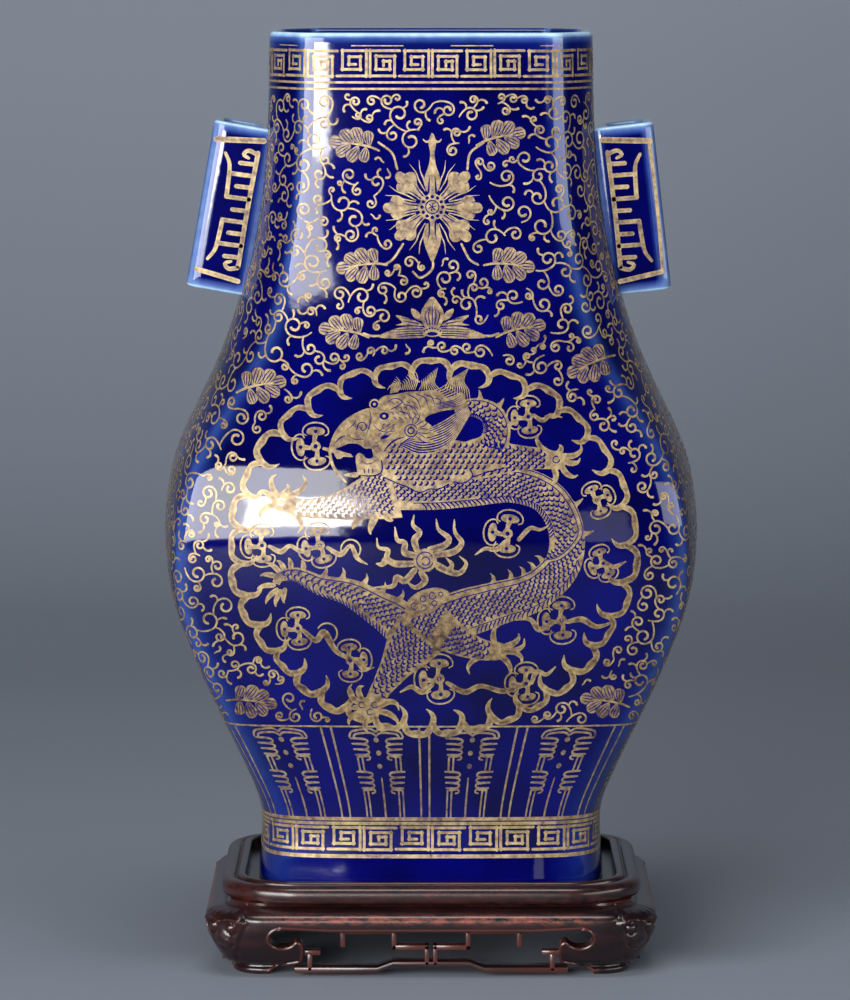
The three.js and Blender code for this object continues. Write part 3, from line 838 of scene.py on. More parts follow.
def lappets(gilding):
    """The panels hang all round; their lines draw together with the body towards the foot."""
    gilding.lay = banded(LAPPET_TOP, -2.4)
    for i in range(LAPPETS):
        lappet(gilding, (i + 0.5) * lappet_pitch())


def bands(gilding):
    """The frets, the gold lines and the lappets."""
    rim_width, foot_width = FRET_WIDTHS
    key_fret(gilding, *RIM_FRET, rim_width)
    for height, width in GOLD_LINES[:2]:
        gold_line(gilding, height, width)
    for start in np.arange(0.02, 1, 0.09):
        gold_line(gilding, RUBBED_LINE, 0.35, start, start + random_line.uniform(0.02, 0.06))
    gold_line(gilding, LAPPET_TOP + 0.3, 0.6)
    gilding.bare = FADED
    lappets(gilding)
    gilding.bare = 0
    gold_line(gilding, LAPPET_FOOT - 0.3, 1.2)
    gold_line(gilding, *GOLD_LINES[2])
    key_fret(gilding, *FOOT_FRET, foot_width)
    gold_line(gilding, *GOLD_LINES[3])


# Free space


class Ground:
    """Which cells of half the vase's skin already bear gilding.

    Places are given by their arc length from the middle of the face and their height.
    """

    CELL = 0.5

    def __init__(self, face):
        self.face = face
        self.reach = skin.quarters.max()
        self.taken = np.zeros((int(2 * self.reach / self.CELL), int(VASE_HEIGHT / self.CELL)), bool)

    def disc(self, radius):
        n = int(radius / self.CELL) + 1
        x, y = np.mgrid[-n:n + 1, -n:n + 1]
        near = np.hypot(x, y) * self.CELL <= radius
        return np.stack([x[near], y[near]], axis=1)

    def spots(self, places, radius):
        at = ((places + (self.reach, 0)) / self.CELL).astype(int)
        at = np.clip(at[:, None] + self.disc(radius), 0, np.array(self.taken.shape) - 1)
        return at[..., 0], at[..., 1]

    def stamp(self, laid, radius=0.5):
        """Takes the places of points given by their arc round the vase."""
        places = laid - np.stack([self.face * skin.quarter(laid[:, 1]), 0 * laid[:, 1]], axis=1)
        inside = np.abs(places[:, 0]) < self.reach
        if inside.any():
            self.taken[self.spots(places[inside], radius)] = True

    def free(self, places, radius):
        return not self.taken[self.spots(places, radius)].any()

    def close_medallion(self):
        """Takes the whole of the face's medallion."""
        across = np.arange(-MEDALLION_RADII[0], MEDALLION_RADII[0], self.CELL)
        up = np.arange(-MEDALLION_RADII[1], MEDALLION_RADII[1], self.CELL)
        x, y = (grid.ravel() for grid in np.meshgrid(across, up))
        inside = (x / MEDALLION_RADII[0]) ** 2 + (y / MEDALLION_RADII[1]) ** 2 < 0.97
        points = np.stack([x[inside], y[inside]], axis=1) + MEDALLION
        self.stamp(sagging(self.face)(points))


# Flowers and leaves


def leaf(gilding, place, turn, flip):
    """A leaf of hatched lobes that lap over each other along a bent midrib, its stalk at its left."""
    gilding.view(place, 1.0, turn, flip)
    lobes = (
        (2.6, 0.2, 2, 6.4, 2.3), (1.2, 0, -40, 6.2, 2.2), (0.6, 0.2, 44, 6.4, 2.3),
        (-1.6, -0.2, -58, 6.4, 2.3), (-2.2, 0.2, 62, 6.6, 2.4), (-4.2, -0.2, -78, 5.4, 2.1),
        (-4.8, 0.1, 80, 5.4, 2.1),
    )
    rounded = [
        (0, 0.2), (0.3, 0.62), (0.62, 0.96), (0.86, 0.8), (1, 0.1), (0.9, -0.74),
        (0.64, -0.96), (0.3, -0.62),
    ]
    for x, y, angle, length, half in lobes:
        gilding.shape(turned([(a * length, b * half) for a, b in rounded], angle, (x, y)))
        gilding.marks()
        for hatch in (-0.5, -0.02, 0.46):
            line = [(0.16, hatch * half * 0.5), (0.5, hatch * half * 0.95), (0.9, hatch * half * 0.8)]
            points = turned([(a * length, b) for a, b in line], angle, (x, y))
            gilding.stroke(points, (0.2, 0.42, 0.2))
        for part, widths in ((rounded[1:5], (0.1, 0.3, 0.3, 0.1)), (rounded[5:], (0.1, 0.3, 0.1))):
            edge = [(a * length, b * half * 1.02) for a, b in part]
            gilding.stroke(turned(edge, angle, (x, y)), widths)
        gilding.over()
    gilding.stroke([(-8.4, -1), (-5, 0), (0, 0.4), (4.5, 0.3)], (0.7, 0.8, 0.6, 0.4))
    gilding.layer -= len(lobes)
    gilding.view()


PETAL_TURNS = (43, -1, -41, 137, 181, 221)
SEPAL_TURNS = (20, 160, -22, 202, 68, 112, -68, -112)


def rosette_petal(gilding, angle, length):
    """A petal of the lotus: a narrow root and three round lobes."""
    shape = [
        (3.6, 0.9), (7, 1.5), (9.4, 2.2), (11.0, 3.9), (12.7, 4.3), (14.2, 3.3), (14.8, 2.0),
        (16.5, 1.5), (17.3, 0), (16.6, -1.5), (14.9, -1.9), (14.3, -3.4), (12.8, -4.4),
        (11.1, -3.8), (9.4, -2.2), (7, -1.5), (3.6, -0.9),
    ]
    scale = length / 17.3
    gilding.shape(turned([(x * scale, y * scale) for x, y in shape], angle))


def lotus_rosette(gilding, place, size=1.0):
    """A lotus seen from above, with six lobed petals, two pointed ones and thin sepals."""
    gilding.view(place, size)
    for angle in PETAL_TURNS:
        rosette_petal(gilding, angle, random_line.uniform(16.6, 17.4))
    gilding.marks()
    for angle in PETAL_TURNS:
        for bend in (-1, 1):
            line = [(5, bend * 0.6), (7.6, bend * 0.9), (10, bend * 1.5)]
            gilding.stroke(turned(line, angle), (0.5, 0.4, 0.12))
            line = [(13.4, bend * 1.7), (14.6, bend * 2.1), (15.2, bend * 1.9)]
            gilding.stroke(turned(line, angle), (0.12, 0.3, 0.3))
    gilding.over()
    for angle in SEPAL_TURNS:
        for bend in (-1.4, 1.4):
            line = [(6, 0), (10, bend * 0.3), (13, bend * 0.2), (16.6, bend * 0.8)]
            gilding.stroke(turned(line, angle + bend * 1.6), (0.3, 0.48, 0.4, 0.12))
    gilding.over()
    gilding.shape([(0, -3.4), (2.2, -7), (3.0, -11), (1.7, -15.4), (0, -18.6), (-1.7, -15.4),
                   (-3.0, -11), (-2.2, -7)])
    gilding.shape([(0, 3.4), (2.4, 6.6), (2.6, 10.2), (1.2, 14.4), (0.75, 18.6), (1.3, 22), (0, 25.4),
                   (-1.3, 22), (-0.75, 18.6), (-1.2, 14.4), (-2.6, 10.2), (-2.4, 6.6)])
    for side in (-1, 1):
        gilding.stroke([(side * 0.4, 22.6), (side * 2.2, 22.2), (side * 3.2, 23.2)], (1.2, 0.7, 0.3))
    gilding.marks()
    for side in (-1, 1):
        gilding.stroke([(side * 1.1, -5), (side * 1.0, -8.6), (side * 1.6, -11.5)], (0.7, 0.5, 0.12))
        gilding.stroke([(side * 1.3, 5), (side * 1.1, 8.2), (side * 0.9, 10.6)], (0.7, 0.5, 0.12))
    gilding.over()
    gilding.dot((0, 0), 4.6)
    gilding.marks()
    for i in range(12):
        a = i * math.pi / 6
        gilding.dot((3.55 * math.cos(a), 3.55 * math.sin(a)), 0.62)
    gilding.stroke(arc_path((0, 0), 2.25, 0, 360), 0.42)
    for i in range(3):
        a = i * math.pi / 3 + 0.3
        reach = np.array([math.cos(a), math.sin(a)]) * 1.4
        gilding.stroke([-reach, reach], 0.32)
    gilding.over()
    gilding.view()


def half_lotus(gilding, place):
    """A lotus seen from the side: a hatched arch between long pointed petals."""
    gilding.view(place)
    for side in (-1, 1):
        petals = (
            ((2, -0.5), (7, 0.2), (12.5, -0.6), (18.6, -3.3), (12, -3.9), (6, -3.7), (2.4, -3.2)),
            ((3, 0.5), (7, 2.6), (12.6, 4.0), (10.2, 1.5), (12.8, 0.6), (7.5, 0.6)),
        )
        for petal in petals:
            gilding.shape([(side * x, y) for x, y in petal][::side])
        gilding.shape([(side * x, y) for x, y in ((3.4, 2), (4.6, 5), (7.3, 6.2), (6.4, 3.4))][::side])
        gilding.marks()
        for row in range(4):
            y = -0.6 - row * 0.75
            gilding.stroke([
                (side * 3.2, y), (side * 8, y - 0.1), (side * (13.6 - row * 0.5), y - 0.35 - 0.1 * row),
            ], (0.42, 0.36, 0.12))
        for row in range(2):
            gilding.stroke([
                (side * 5, 1.2 + row), (side * 8, 1.7 + row), (side * 10.4, 2.0 + row * 1.1),
            ], (0.4, 0.36, 0.12))
        gilding.bare = 0
    gilding.over()
    gilding.shape([(0, -2), (2.6, 0), (4.0, 4), (2.6, 7.4), (0, 10.2), (-2.6, 7.4), (-4.0, 4), (-2.6, 0)])
    gilding.marks()
    for x in (-2, -1, 0, 1, 2):
        gilding.stroke([(x * 0.8, 0.8), (x * 1.25, 4), (x * 0.7, 8 - abs(x))], (0.4, 0.42, 0.14))
    gilding.over()
    gilding.dot((0, -1.6), 3.4, 0.52)
    gilding.marks()
    gilding.dot((0, -2.3), 1.9, 0.36)
    for x in (-3.2, -2.2, -1.1, 0, 1.1, 2.2, 3.2):
        gilding.dot((x * 0.86, -0.4 - 0.09 * x * x), 0.34)
    gilding.over()
    gilding.view()


def flowers(gilding):
    """The lotus flowers, their leaves and the stems that join them."""
    gilding.stroke([(0.4, 248), (0.4, 243.6), (-3.6, 240.6), (-6.2, 242.6)], 0.75)
    for side in (-1, 1):
        gilding.stroke([(0.4 + side * 12, 277.5), (side * 13.4, 283), (side * 18, 286.6)], 0.75)
        gilding.stroke([(0.4 + side * 10, 252), (side * 13, 247), (side * 16, 245)], 0.75)
        gilding.stroke([(0.4 + side * 18, 221), (side * 20.5, 221), (side * 23, 221.8)], 0.75)
    for x, z, turn in (
        (-26.1, 285.7, -6), (-23.6, 244.6, 9), (-29.6, 222.3, -6),
        (23.6, 288.2, 11), (26.6, 244.8, -7), (30.4, 223, 10),
    ):
        leaf(gilding, (x, z), turn, 1 if x > 0 else -1)
    lotus_rosette(gilding, (0.4, 264.6))
    half_lotus(gilding, (0.4, 224))
    for x, z, turn in ((-58.3, 204, 10), (54.8, 211.2, 24), (-61.8, 95.4, -8), (60, 95.4, -8)):
        leaf(gilding, (x, z), turn, -1 if x > 0 else 1)


# The medallion

MEDALLION = (0.7, 150.8)
MEDALLION_RADII = (69.3, 64.5)
MEDALLION_SAG = 0.00053  # how much lower the picture lies away from its middle
LOBES = 34


def sagging(face):
    """Lays the medallion's picture, drawn flat, as it curves away over the belly."""
    lay_seen = seen(face)

    def lay(points):
        rise = points[:, 1] - MEDALLION[1]
        return lay_seen(np.stack([points[:, 0], points[:, 1] - MEDALLION_SAG * rise ** 2], axis=1))
    return lay


def medallion_border(gilding):
    """A ring of lobes that bulge outwards, with a flame-like hook at each cusp."""
    gilding.view(MEDALLION)
    turn = np.linspace(0, 2 * math.pi, 721)
    x = MEDALLION_RADII[0] * np.cos(turn)
    y = MEDALLION_RADII[1] * np.sin(turn)
    crowding = 1 + 0.32 * np.clip(-np.sin(turn), 0, 1) + 0.12 * np.clip(-np.cos(turn), 0, 1)
    run = np.concatenate([[0], np.cumsum(np.hypot(np.diff(x), np.diff(y)) * crowding[1:])])
    cusps = np.interp(np.linspace(0, run[-1], LOBES + 1), run, turn)
    for a, b in zip(cusps, cusps[1:]):
        swell = random_line.uniform(0.045, 0.07)
        lobe = []
        for share in np.linspace(0, 1, 9):
            bulge = 1 - 0.055 + swell * math.sin(share * math.pi) ** 0.7
            bulge += 0.008 * math.sin(share * 9.4)
            angle = mix(a, b, share)
            lobe.append((
                MEDALLION_RADII[0] * bulge * math.cos(angle),
                MEDALLION_RADII[1] * bulge * math.sin(angle),
            ))
        thick = random_line.uniform(0.9, 1.15)
        gilding.stroke(lobe, [w * thick for w in (1.7, 2.2, 1.8, 2.5, 1.9, 2.2, 1.7)])
        root = np.array(lobe[-1])
        inwards = -root / np.hypot(*root)
        aside = np.array([-inwards[1], inwards[0]]) * (1 if math.cos(b) < 0.25 else -1)
        reach = random_line.uniform(4.2, 5.6)
        hook = [
            root - inwards * 0.6, root + inwards * reach * 0.45 - aside * 0.3,
            root + inwards * reach * 0.8 + aside * 0.8, root + inwards * reach + aside * 2.1,
        ]
        gilding.stroke(hook, (2.4, 2.0, 1.4, 0.35))
    gilding.view()


# The dragon and its clouds are drawn in units of their own, Y running down from the drawing's top
DRAGON_UNIT = 0.1276
DRAGON_MIDDLE = (792, 557)
HEAD_UNIT = 0.0407
HEAD_CORNER = (473, 40.5)
SCALE_PITCH = 15.5
CLOUD_HEADS = (90, 184, 276)


def dragon_view(gilding):
    x, y = DRAGON_MIDDLE
    corner = (MEDALLION[0] - x * DRAGON_UNIT, MEDALLION[1] + y * DRAGON_UNIT)
    gilding.view(corner, DRAGON_UNIT, down=True)


def head_view(gilding):
    x, y = np.array(HEAD_CORNER) - DRAGON_MIDDLE
    corner = (MEDALLION[0] + x * DRAGON_UNIT, MEDALLION[1] - y * DRAGON_UNIT)
    gilding.view(corner, HEAD_UNIT, down=True)


def at_share(path, left, spread, share, across):
    """A place on a band, by its share of the length and its share of the width from the middle."""
    at = share * (len(path) - 1)
    i = int(min(at, len(path) - 2))
    part = at - i
    point = mix(path[i], path[i + 1], part)
    side = mix(left[i], left[i + 1], part)
    width = mix(spread[i], spread[i + 1], part)
    return point + side * width * across / 2


def scales(gilding, band, low=-0.8, high=0.8, pitch=SCALE_PITCH, start=0.02, end=0.98, skip=None):
    """Rows of dark crescents across a band, each open towards the head."""
    path, left, spread = band
    run = np.hypot(*np.diff(path, axis=0).T).sum()
    rows = int(run * (end - start) / (pitch * 0.62))
    for row in range(rows):
        share = mix(start, end, (row + 0.5) / rows)
        width = np.interp(share, np.linspace(0, 1, len(spread)), spread)
        count = max(int(width * (high - low) / 2 / pitch), 1)
        step = (high - low) / count
        for k in range(count):
            across = low + (k + (0.25 if row % 2 else 0.75)) * step
            if skip and skip(share, across):
                continue
            half = step * 0.36
            dip = 0.42 * pitch / run
            gilding.stroke([
                at_share(path, left, spread, share - dip * 0.6, across + half),
                at_share(path, left, spread, share + dip * 0.5, across + half * 0.55),
                at_share(path, left, spread, share + dip * 0.75, across - half * 0.2),
                at_share(path, left, spread, share + dip * 0.1, across - half),
            ], (0.2, 0.72, 0.76, 0.2), step=0.42)


def ribs(gilding, band, low, high, spacing=11.5, start=0.0, end=1.0):
    """Short dark bars across one edge of a band: the belly plates."""
    path, left, spread = band
    run = np.hypot(*np.diff(path, axis=0).T).sum()
    count = int(run * (end - start) / spacing)
    for i in range(count):
        share = mix(start, end, (i + 0.5) / count)
        lean = 5 / run
        gilding.stroke([
            at_share(path, left, spread, share - lean, low),
            at_share(path, left, spread, share + lean * 0.4, (low + high) / 2),
            at_share(path, left, spread, share + lean, high),
        ], (0.55, 0.5, 0.35), step=0.5)


def edge_line(gilding, band, across, width, start=0.0, end=1.0):
    path, left, spread = band
    shares = np.linspace(start, end, 40)
    line = [at_share(path, left, spread, s, across) for s in shares]
    gilding.stroke(line, width)


def spines(gilding, band, side, shares, size=26, lean=1.0):
    """Curved thorns along one edge of a band."""
    path, left, spread = band
    for share in shares:
        root = at_share(path, left, spread, share, side * 0.9)
        ahead = at_share(path, left, spread, min(share + 0.01, 1), side * 0.9) - root
        ahead /= max(np.hypot(*ahead), 1e-6)
        out = np.array([ahead[1], -ahead[0]])
        if np.dot(out, root - at_share(path, left, spread, share, 0)) < 0:
            out = -out
        thorn = [(-9, -2), (-5, 6), (-4.5, 16), (1 - 6 * lean, 26), (2, 17), (5.5, 7), (10, -2)]
        gilding.shape([root + (ahead * x + out * y) * size / 26 for x, y in thorn])


def claw(gilding, root, tip, bend, width):
    """A toe that ends in a hooked claw."""
    root, tip = np.array(root, float), np.array(tip, float)
    along = tip - root
    aside = np.array([-along[1], along[0]]) * bend
    path = [root, root + along * 0.45 + aside * 0.55, root + along * 0.85 + aside * 0.5, tip]
    gilding.stroke(path, (width * 0.8, width, width * 0.75, 0.3))


def foot(gilding, middle, radius, width, claws):
    """A foot: its claws, each by root, tip and bend, and then its round middle."""
    for root, tip, bend in claws:
        claw(gilding, root, tip, bend, width)
    gilding.dot(middle, radius)


def dragon_tail(gilding):
    band = gilding.strip(
        [(735, 790), (690, 752), (641, 722), (570, 682), (489, 662), (430, 636), (385, 640), (372, 660)],
        (120, 112, 92, 78, 62, 50, 38, 20),
    )
    spines(gilding, band, 1, (0.18, 0.3, 0.42, 0.54, 0.66), 32, -0.6)
    for tip, root in (
        ((330, 640), (372, 640)), ((322, 676), (366, 664)), ((345, 715), (374, 676)),
        ((372, 722), (384, 680)), ((395, 712), (396, 676)), ((345, 605), (385, 632)),
        ((405, 590), (412, 618)), ((440, 596), (446, 622)), ((375, 598), (396, 624)),
    ):
        claw(gilding, root, tip, 0.18, 1.9)
    gilding.marks()
    scales(gilding, band, -0.6, 0.5, start=0.06, end=0.92)
    edge_line(gilding, band, 0.66, 0.4, 0.1, 0.93)
    ribs(gilding, band, -0.98, -0.74, start=0.12, end=0.9)
    gilding.over()


def dragon_body(gilding):
    band = gilding.strip(
        [(600, 400), (700, 398), (800, 400), (900, 394), (1010, 392), (1098, 428), (1145, 510),
         (1138, 606), (1065, 678), (960, 712), (860, 742), (780, 772), (715, 800)],
        (120, 125, 118, 112, 100, 94, 94, 96, 104, 114, 128, 130, 110),
    )
    spines(gilding, band, -1, (0.42, 0.475, 0.53), 32)
    spines(gilding, band, 1, (0.62, 0.655, 0.69, 0.73, 0.77), 32, -0.6)
    gilding.marks()

    def crossing(share):
        return float(np.interp(share, (0, 0.53, 0.61, 1), (-0.8, -0.8, 0.8, 0.76)))

    def near_stripe(share, across):
        stripe = crossing(share)
        return abs(across - stripe) < 0.2 or across * np.sign(stripe) < -0.62

    path, left, spread = band
    scales(gilding, band, -0.98, 0.98, start=0.05, end=0.97, skip=near_stripe)
    shares = np.linspace(0.3, 0.93, 60)
    for shift in (-0.13, 0.13):
        line = [at_share(path, left, spread, s, crossing(s) + shift) for s in shares]
        gilding.stroke(line, 0.38)
    ribs(gilding, band, 0.74, 0.98, start=0.14, end=0.53)
    ribs(gilding, band, -0.74, -0.98, start=0.58, end=0.84)
    edge_line(gilding, band, 0.7, 0.32, 0.12, 0.53)
    edge_line(gilding, band, -0.68, 0.32, 0.58, 0.85)
    gilding.over()


def dragon_haunches(gilding):
    right = gilding.strip(
        [(800, 775), (860, 812), (915, 834), (965, 842)], (110, 84, 62, 46),
    )
    foot(gilding, (966, 840), 25, 2.1, (
        ((960, 830), (968, 772), -0.35), ((972, 832), (1036, 806), 0.5), ((975, 842), (1028, 876), -0.5),
        ((968, 850), (992, 908), -0.4), ((935, 850), (890, 902), 0.45), ((985, 826), (1020, 792), 0.4),
    ))
    gilding.marks()
    scales(gilding, right, start=0.2, end=0.86)
    gilding.over()
    left = gilding.strip(
        [(760, 790), (722, 838), (686, 890), (652, 942), (628, 985)], (150, 128, 84, 58, 44),
    )
    foot(gilding, (618, 992), 30, 2.2, (
        ((612, 985), (574, 928), -0.5), ((600, 968), (606, 934), -0.6), ((606, 1005), (566, 1040), 0.4),
        ((618, 1012), (618, 1058), 0.35), ((634, 1010), (668, 1052), 0.4), ((642, 992), (700, 1000), -0.6),
        ((640, 1000), (696, 1044), -0.35), ((602, 995), (570, 1000), 0.3),
    ))
    gilding.marks()
    scales(gilding, left, start=0.04, end=0.86)
    for x, y in ((600, 985), (622, 1004), (634, 985)):
        gilding.stroke(arc_path((x, y), 8, 40, 300), 0.36)
    gilding.over()
    gilding.shape([(722, 742), (722, 708), (752, 680), (800, 668), (836, 682), (822, 706), (780, 738)])
    gilding.marks()
    for x, y, r in ((742, 718, 9), (765, 698, 8), (790, 690, 9), (812, 686, 6), (768, 722, 7), (795, 710, 7)):
        gilding.stroke(arc_path((x, y), r, 0, 320), 0.36)
    gilding.over()


def dragon_forelegs(gilding):
    neck = gilding.strip(
        [(850, 196), (900, 184), (946, 202), (962, 245), (945, 290), (885, 322)],
        (46, 50, 66, 74, 78, 90),
    )
    spines(gilding, neck, -1, (0.1, 0.24, 0.38, 0.52, 0.66), 28)
    leg = gilding.strip([(900, 325), (985, 322), (1060, 322), (1120, 328)], (110, 86, 62, 48))
    foot(gilding, (1122, 328), 26, 2.1, (
        ((1110, 312), (1074, 256), -0.4), ((1132, 316), (1186, 284), 0.5), ((1136, 326), (1184, 322), 0.45),
        ((1132, 340), (1178, 368), 0.4), ((1112, 344), (1104, 392), -0.4), ((1125, 312), (1128, 286), 0.4),
    ))
    gilding.marks()
    scales(gilding, neck, -0.7, 0.7, start=0.02, end=0.8)
    edge_line(gilding, neck, -0.76, 0.36, 0, 0.75)
    ribs(gilding, neck, 0.66, 0.98, 9, 0.06, 0.62)
    scales(gilding, leg, -0.85, 0.85, start=0.08, end=0.86)
    gilding.stroke(arc_path((1120, 326), 9, 0, 300), 0.36)
    gilding.over()
    arm = gilding.strip(
        [(690, 408), (620, 428), (560, 446), (500, 455), (440, 456), (400, 444)], (150, 126, 92, 62, 50, 46),
    )
    foot(gilding, (388, 440), 27, 2.2, (
        ((385, 432), (374, 366), -0.45), ((400, 425), (444, 368), 0.5), ((372, 440), (322, 420), 0.4),
        ((372, 448), (332, 486), 0.4), ((396, 458), (430, 524), -0.5), ((384, 424), (402, 392), 0.4),
    ))
    for root, tip in (((640, 478), (626, 526)), ((662, 470), (686, 488)), ((600, 482), (578, 512))):
        claw(gilding, root, tip, 0.2, 2.6)
    gilding.marks()
    scales(gilding, arm, start=0.04, end=0.9)
    gilding.stroke(arc_path((388, 440), 9, 60, 330), 0.36)
    gilding.over()
    chest = [
        (640, 268), (636, 330), (662, 372), (702, 394), (730, 401), (760, 414), (790, 406), (833, 393),
        (850, 386), (876, 389), (902, 366), (950, 352), (985, 340), (960, 300), (880, 278), (760, 262),
    ]
    gilding.shape(chest)
    gilding.marks()
    for row in range(8):
        for column in range(20):
            x = 668 + column * 16 + (row % 2) * 8
            y = 286 + row * 14.5
            floor = np.interp(x, (660, 700, 760, 800, 850, 905, 960), (350, 384, 402, 394, 376, 356, 342))
            if y > floor - 6:
                continue
            crescent = [(x + 5, y - 6), (x + 6, y), (x + 1.5, y + 5.5), (x - 4, y + 5)]
            gilding.stroke(crescent, (0.2, 0.75, 0.78, 0.2), step=0.42)
    edge = [(660, 372), (702, 391), (728, 400), (744, 410), (762, 412), (782, 404), (806, 404), (833, 391)]
    gilding.stroke(edge, 0.45)
    gilding.stroke([(846, 384), (868, 388), (888, 380), (897, 366), (890, 352)], 0.45)
    gilding.stroke([(897, 372), (940, 358), (1000, 344)], (0.4, 0.36, 0.2))
    gilding.over()


def hair(gilding, first, last, count, widths=(0.2, 0.36, 0.34, 0.16)):
    """Fine lines that pass from one guide line to another."""
    first, last = np.array(first, float), np.array(last, float)
    for t in np.linspace(0, 1, count):
        gilding.stroke(mix(first, last, t), widths)


def dragon_head(gilding):
    head_view(gilding)
    hair(gilding, [(640, 330), (650, 290), (640, 262), (618, 300)],
         [(700, 320), (722, 260), (716, 220), (690, 186)], 7)
    hair(gilding, [(716, 300), (728, 280), (726, 262), (716, 262)],
         [(846, 300), (870, 220), (860, 160), (826, 112)], 9)
    hair(gilding, [(880, 300), (900, 270), (908, 240), (900, 216)],
         [(1060, 300), (1010, 240), (1020, 180), (1036, 106)], 9)
    hair(gilding, [(1090, 300), (1110, 260), (1130, 220), (1160, 196)],
         [(1310, 400), (1296, 300), (1256, 220), (1294, 112)], 11)
    hair(gilding, [(960, 330), (1020, 300), (1070, 280), (1110, 250)],
         [(1000, 400), (1090, 380), (1180, 350), (1240, 320)], 6)
    gilding.marks()
    gilding.shape([
        (860, 680), (1000, 600), (1150, 520), (1270, 430), (1312, 470), (1300, 560), (1230, 660),
        (1120, 765), (980, 826), (870, 838), (780, 812), (720, 776), (780, 720),
    ])
    gilding.over()
    hair(gilding, [(880, 660), (1010, 610), (1150, 530), (1284, 430)],
         [(722, 776), (900, 844), (1130, 776), (1314, 500)], 12, (0.2, 0.36, 0.36, 0.2))
    gilding.over()
    gilding.shape([
        (132, 796), (146, 730), (196, 630), (280, 545), (390, 480), (470, 455), (545, 445), (548, 385),
        (600, 350), (690, 338), (780, 318), (900, 310), (1000, 300), (1080, 330), (1120, 372),
        (1200, 350), (1242, 318), (1270, 380), (1282, 450), (1200, 466), (1080, 480), (960, 520),
        (930, 560), (990, 610), (960, 650), (1040, 662), (990, 700), (930, 700), (1010, 745),
        (900, 740), (840, 720), (760, 706), (660, 750), (600, 836), (540, 830), (480, 800),
        (430, 800), (380, 766), (300, 758), (220, 790), (160, 806),
    ])
    gilding.shape([
        (352, 868), (378, 838), (410, 846), (436, 878), (480, 884), (520, 850), (556, 880), (572, 960),
        (548, 1018), (470, 1030), (380, 1020), (360, 960),
    ])
    gilding.stroke([(140, 796), (178, 820), (205, 872), (250, 850), (326, 868)], (1.1, 1.3, 1.6, 1.5, 0.4))
    gilding.stroke([(132, 820), (156, 930), (208, 1020), (272, 1082)], (0.9, 1.0, 1.1, 0.5))
    gilding.shape([(246, 1022), (310, 1004), (372, 1000), (372, 1040), (300, 1040)])
    gilding.dot((508, 424), 46)
    gilding.marks()
    gilding.dot((508, 424), 33)
    gilding.dot((590, 524), 40, 0.82)
    brow = [(620, 400), (680, 372), (740, 400), (700, 440), (640, 470)]
    gilding.stroke(brow, (0.3, 0.34, 0.3))
    for row in range(4):
        for column in range(5):
            x = 640 + column * 46 + (row % 2) * 22
            y = 400 + row * 44
            gilding.stroke([(x, y), (x + 22, y + 10), (x + 28, y + 28)], (0.14, 0.36, 0.14))
    for row in range(3):
        for column in range(3):
            x = 600 + column * 44 - row * 16
            y = 590 + row * 40
            gilding.stroke([(x, y), (x - 20, y + 8), (x - 26, y + 26)], (0.14, 0.36, 0.14))
    gilding.stroke(curve([(360, 640), (376, 590), (420, 580), (440, 620), (410, 650), (392, 622)]), 0.36)
    gilding.stroke([(465, 470), (480, 540), (462, 620), (440, 690)], (0.16, 0.36, 0.16))
    gilding.stroke([(180, 756), (214, 716), (262, 690)], (0.2, 0.5, 0.2))
    gilding.stroke([(280, 640), (330, 600), (352, 560)], (0.14, 0.34, 0.14))
    gilding.stroke([(300, 700), (350, 726), (410, 720), (440, 760)], (0.14, 0.34, 0.14))
    gilding.stroke([(500, 600), (540, 640), (600, 660), (680, 650)], (0.14, 0.34, 0.14))
    gilding.shape([(560, 720), (580, 686), (636, 690), (600, 716)])
    gilding.shape([(512, 786), (514, 742), (548, 776)])
    gilding.stroke([(586, 830), (630, 770), (690, 724), (764, 700)], (0.3, 0.62, 0.55, 0.2))
    for x in (424, 460, 494):
        gilding.stroke([(x, 974), (x + 2, 1004)], 0.4)
    gilding.stroke([(566, 900), (576, 970), (546, 1016), (460, 1030), (378, 1022)], (0.4, 0.55, 0.5, 0.3))
    gilding.stroke([(400, 900), (440, 930), (490, 920), (530, 890)], (0.14, 0.36, 0.14))
    for start, end in (
        ((770, 330), (900, 470)), ((850, 330), (960, 450)), ((920, 340), (1010, 430)),
        ((740, 420), (880, 520)), ((1000, 370), (1060, 440)), ((700, 480), (820, 570)),
    ):
        bend = (np.array(start) + end) / 2 + (26, -20)
        gilding.stroke([start, bend, end], (0.12, 0.4, 0.3, 0.12))
    hair(gilding, [(1010, 420), (1100, 404), (1170, 388), (1236, 350)],
         [(1000, 470), (1100, 452), (1190, 440), (1262, 420)], 5, (0.12, 0.3, 0.3, 0.12))
    for angle in (-66, -30, 2, 34):
        gilding.stroke(turned([(62, 12), (120, 20), (172, 8)], angle, (812, 648)), (0.2, 0.4, 0.12))
        gilding.stroke(turned([(62, -14), (110, -20), (150, -12)], angle, (812, 648)), (0.2, 0.36, 0.12))
    gilding.stroke(arc_path((814, 648), 52, 0, 340), 0.34)
    gilding.stroke(arc_path((814, 648), 26, 0, 340), 0.5)
    gilding.over()
    gilding.dot((508, 424), 13)
    gilding.dot((588, 526), 14)
    dragon_view(gilding)


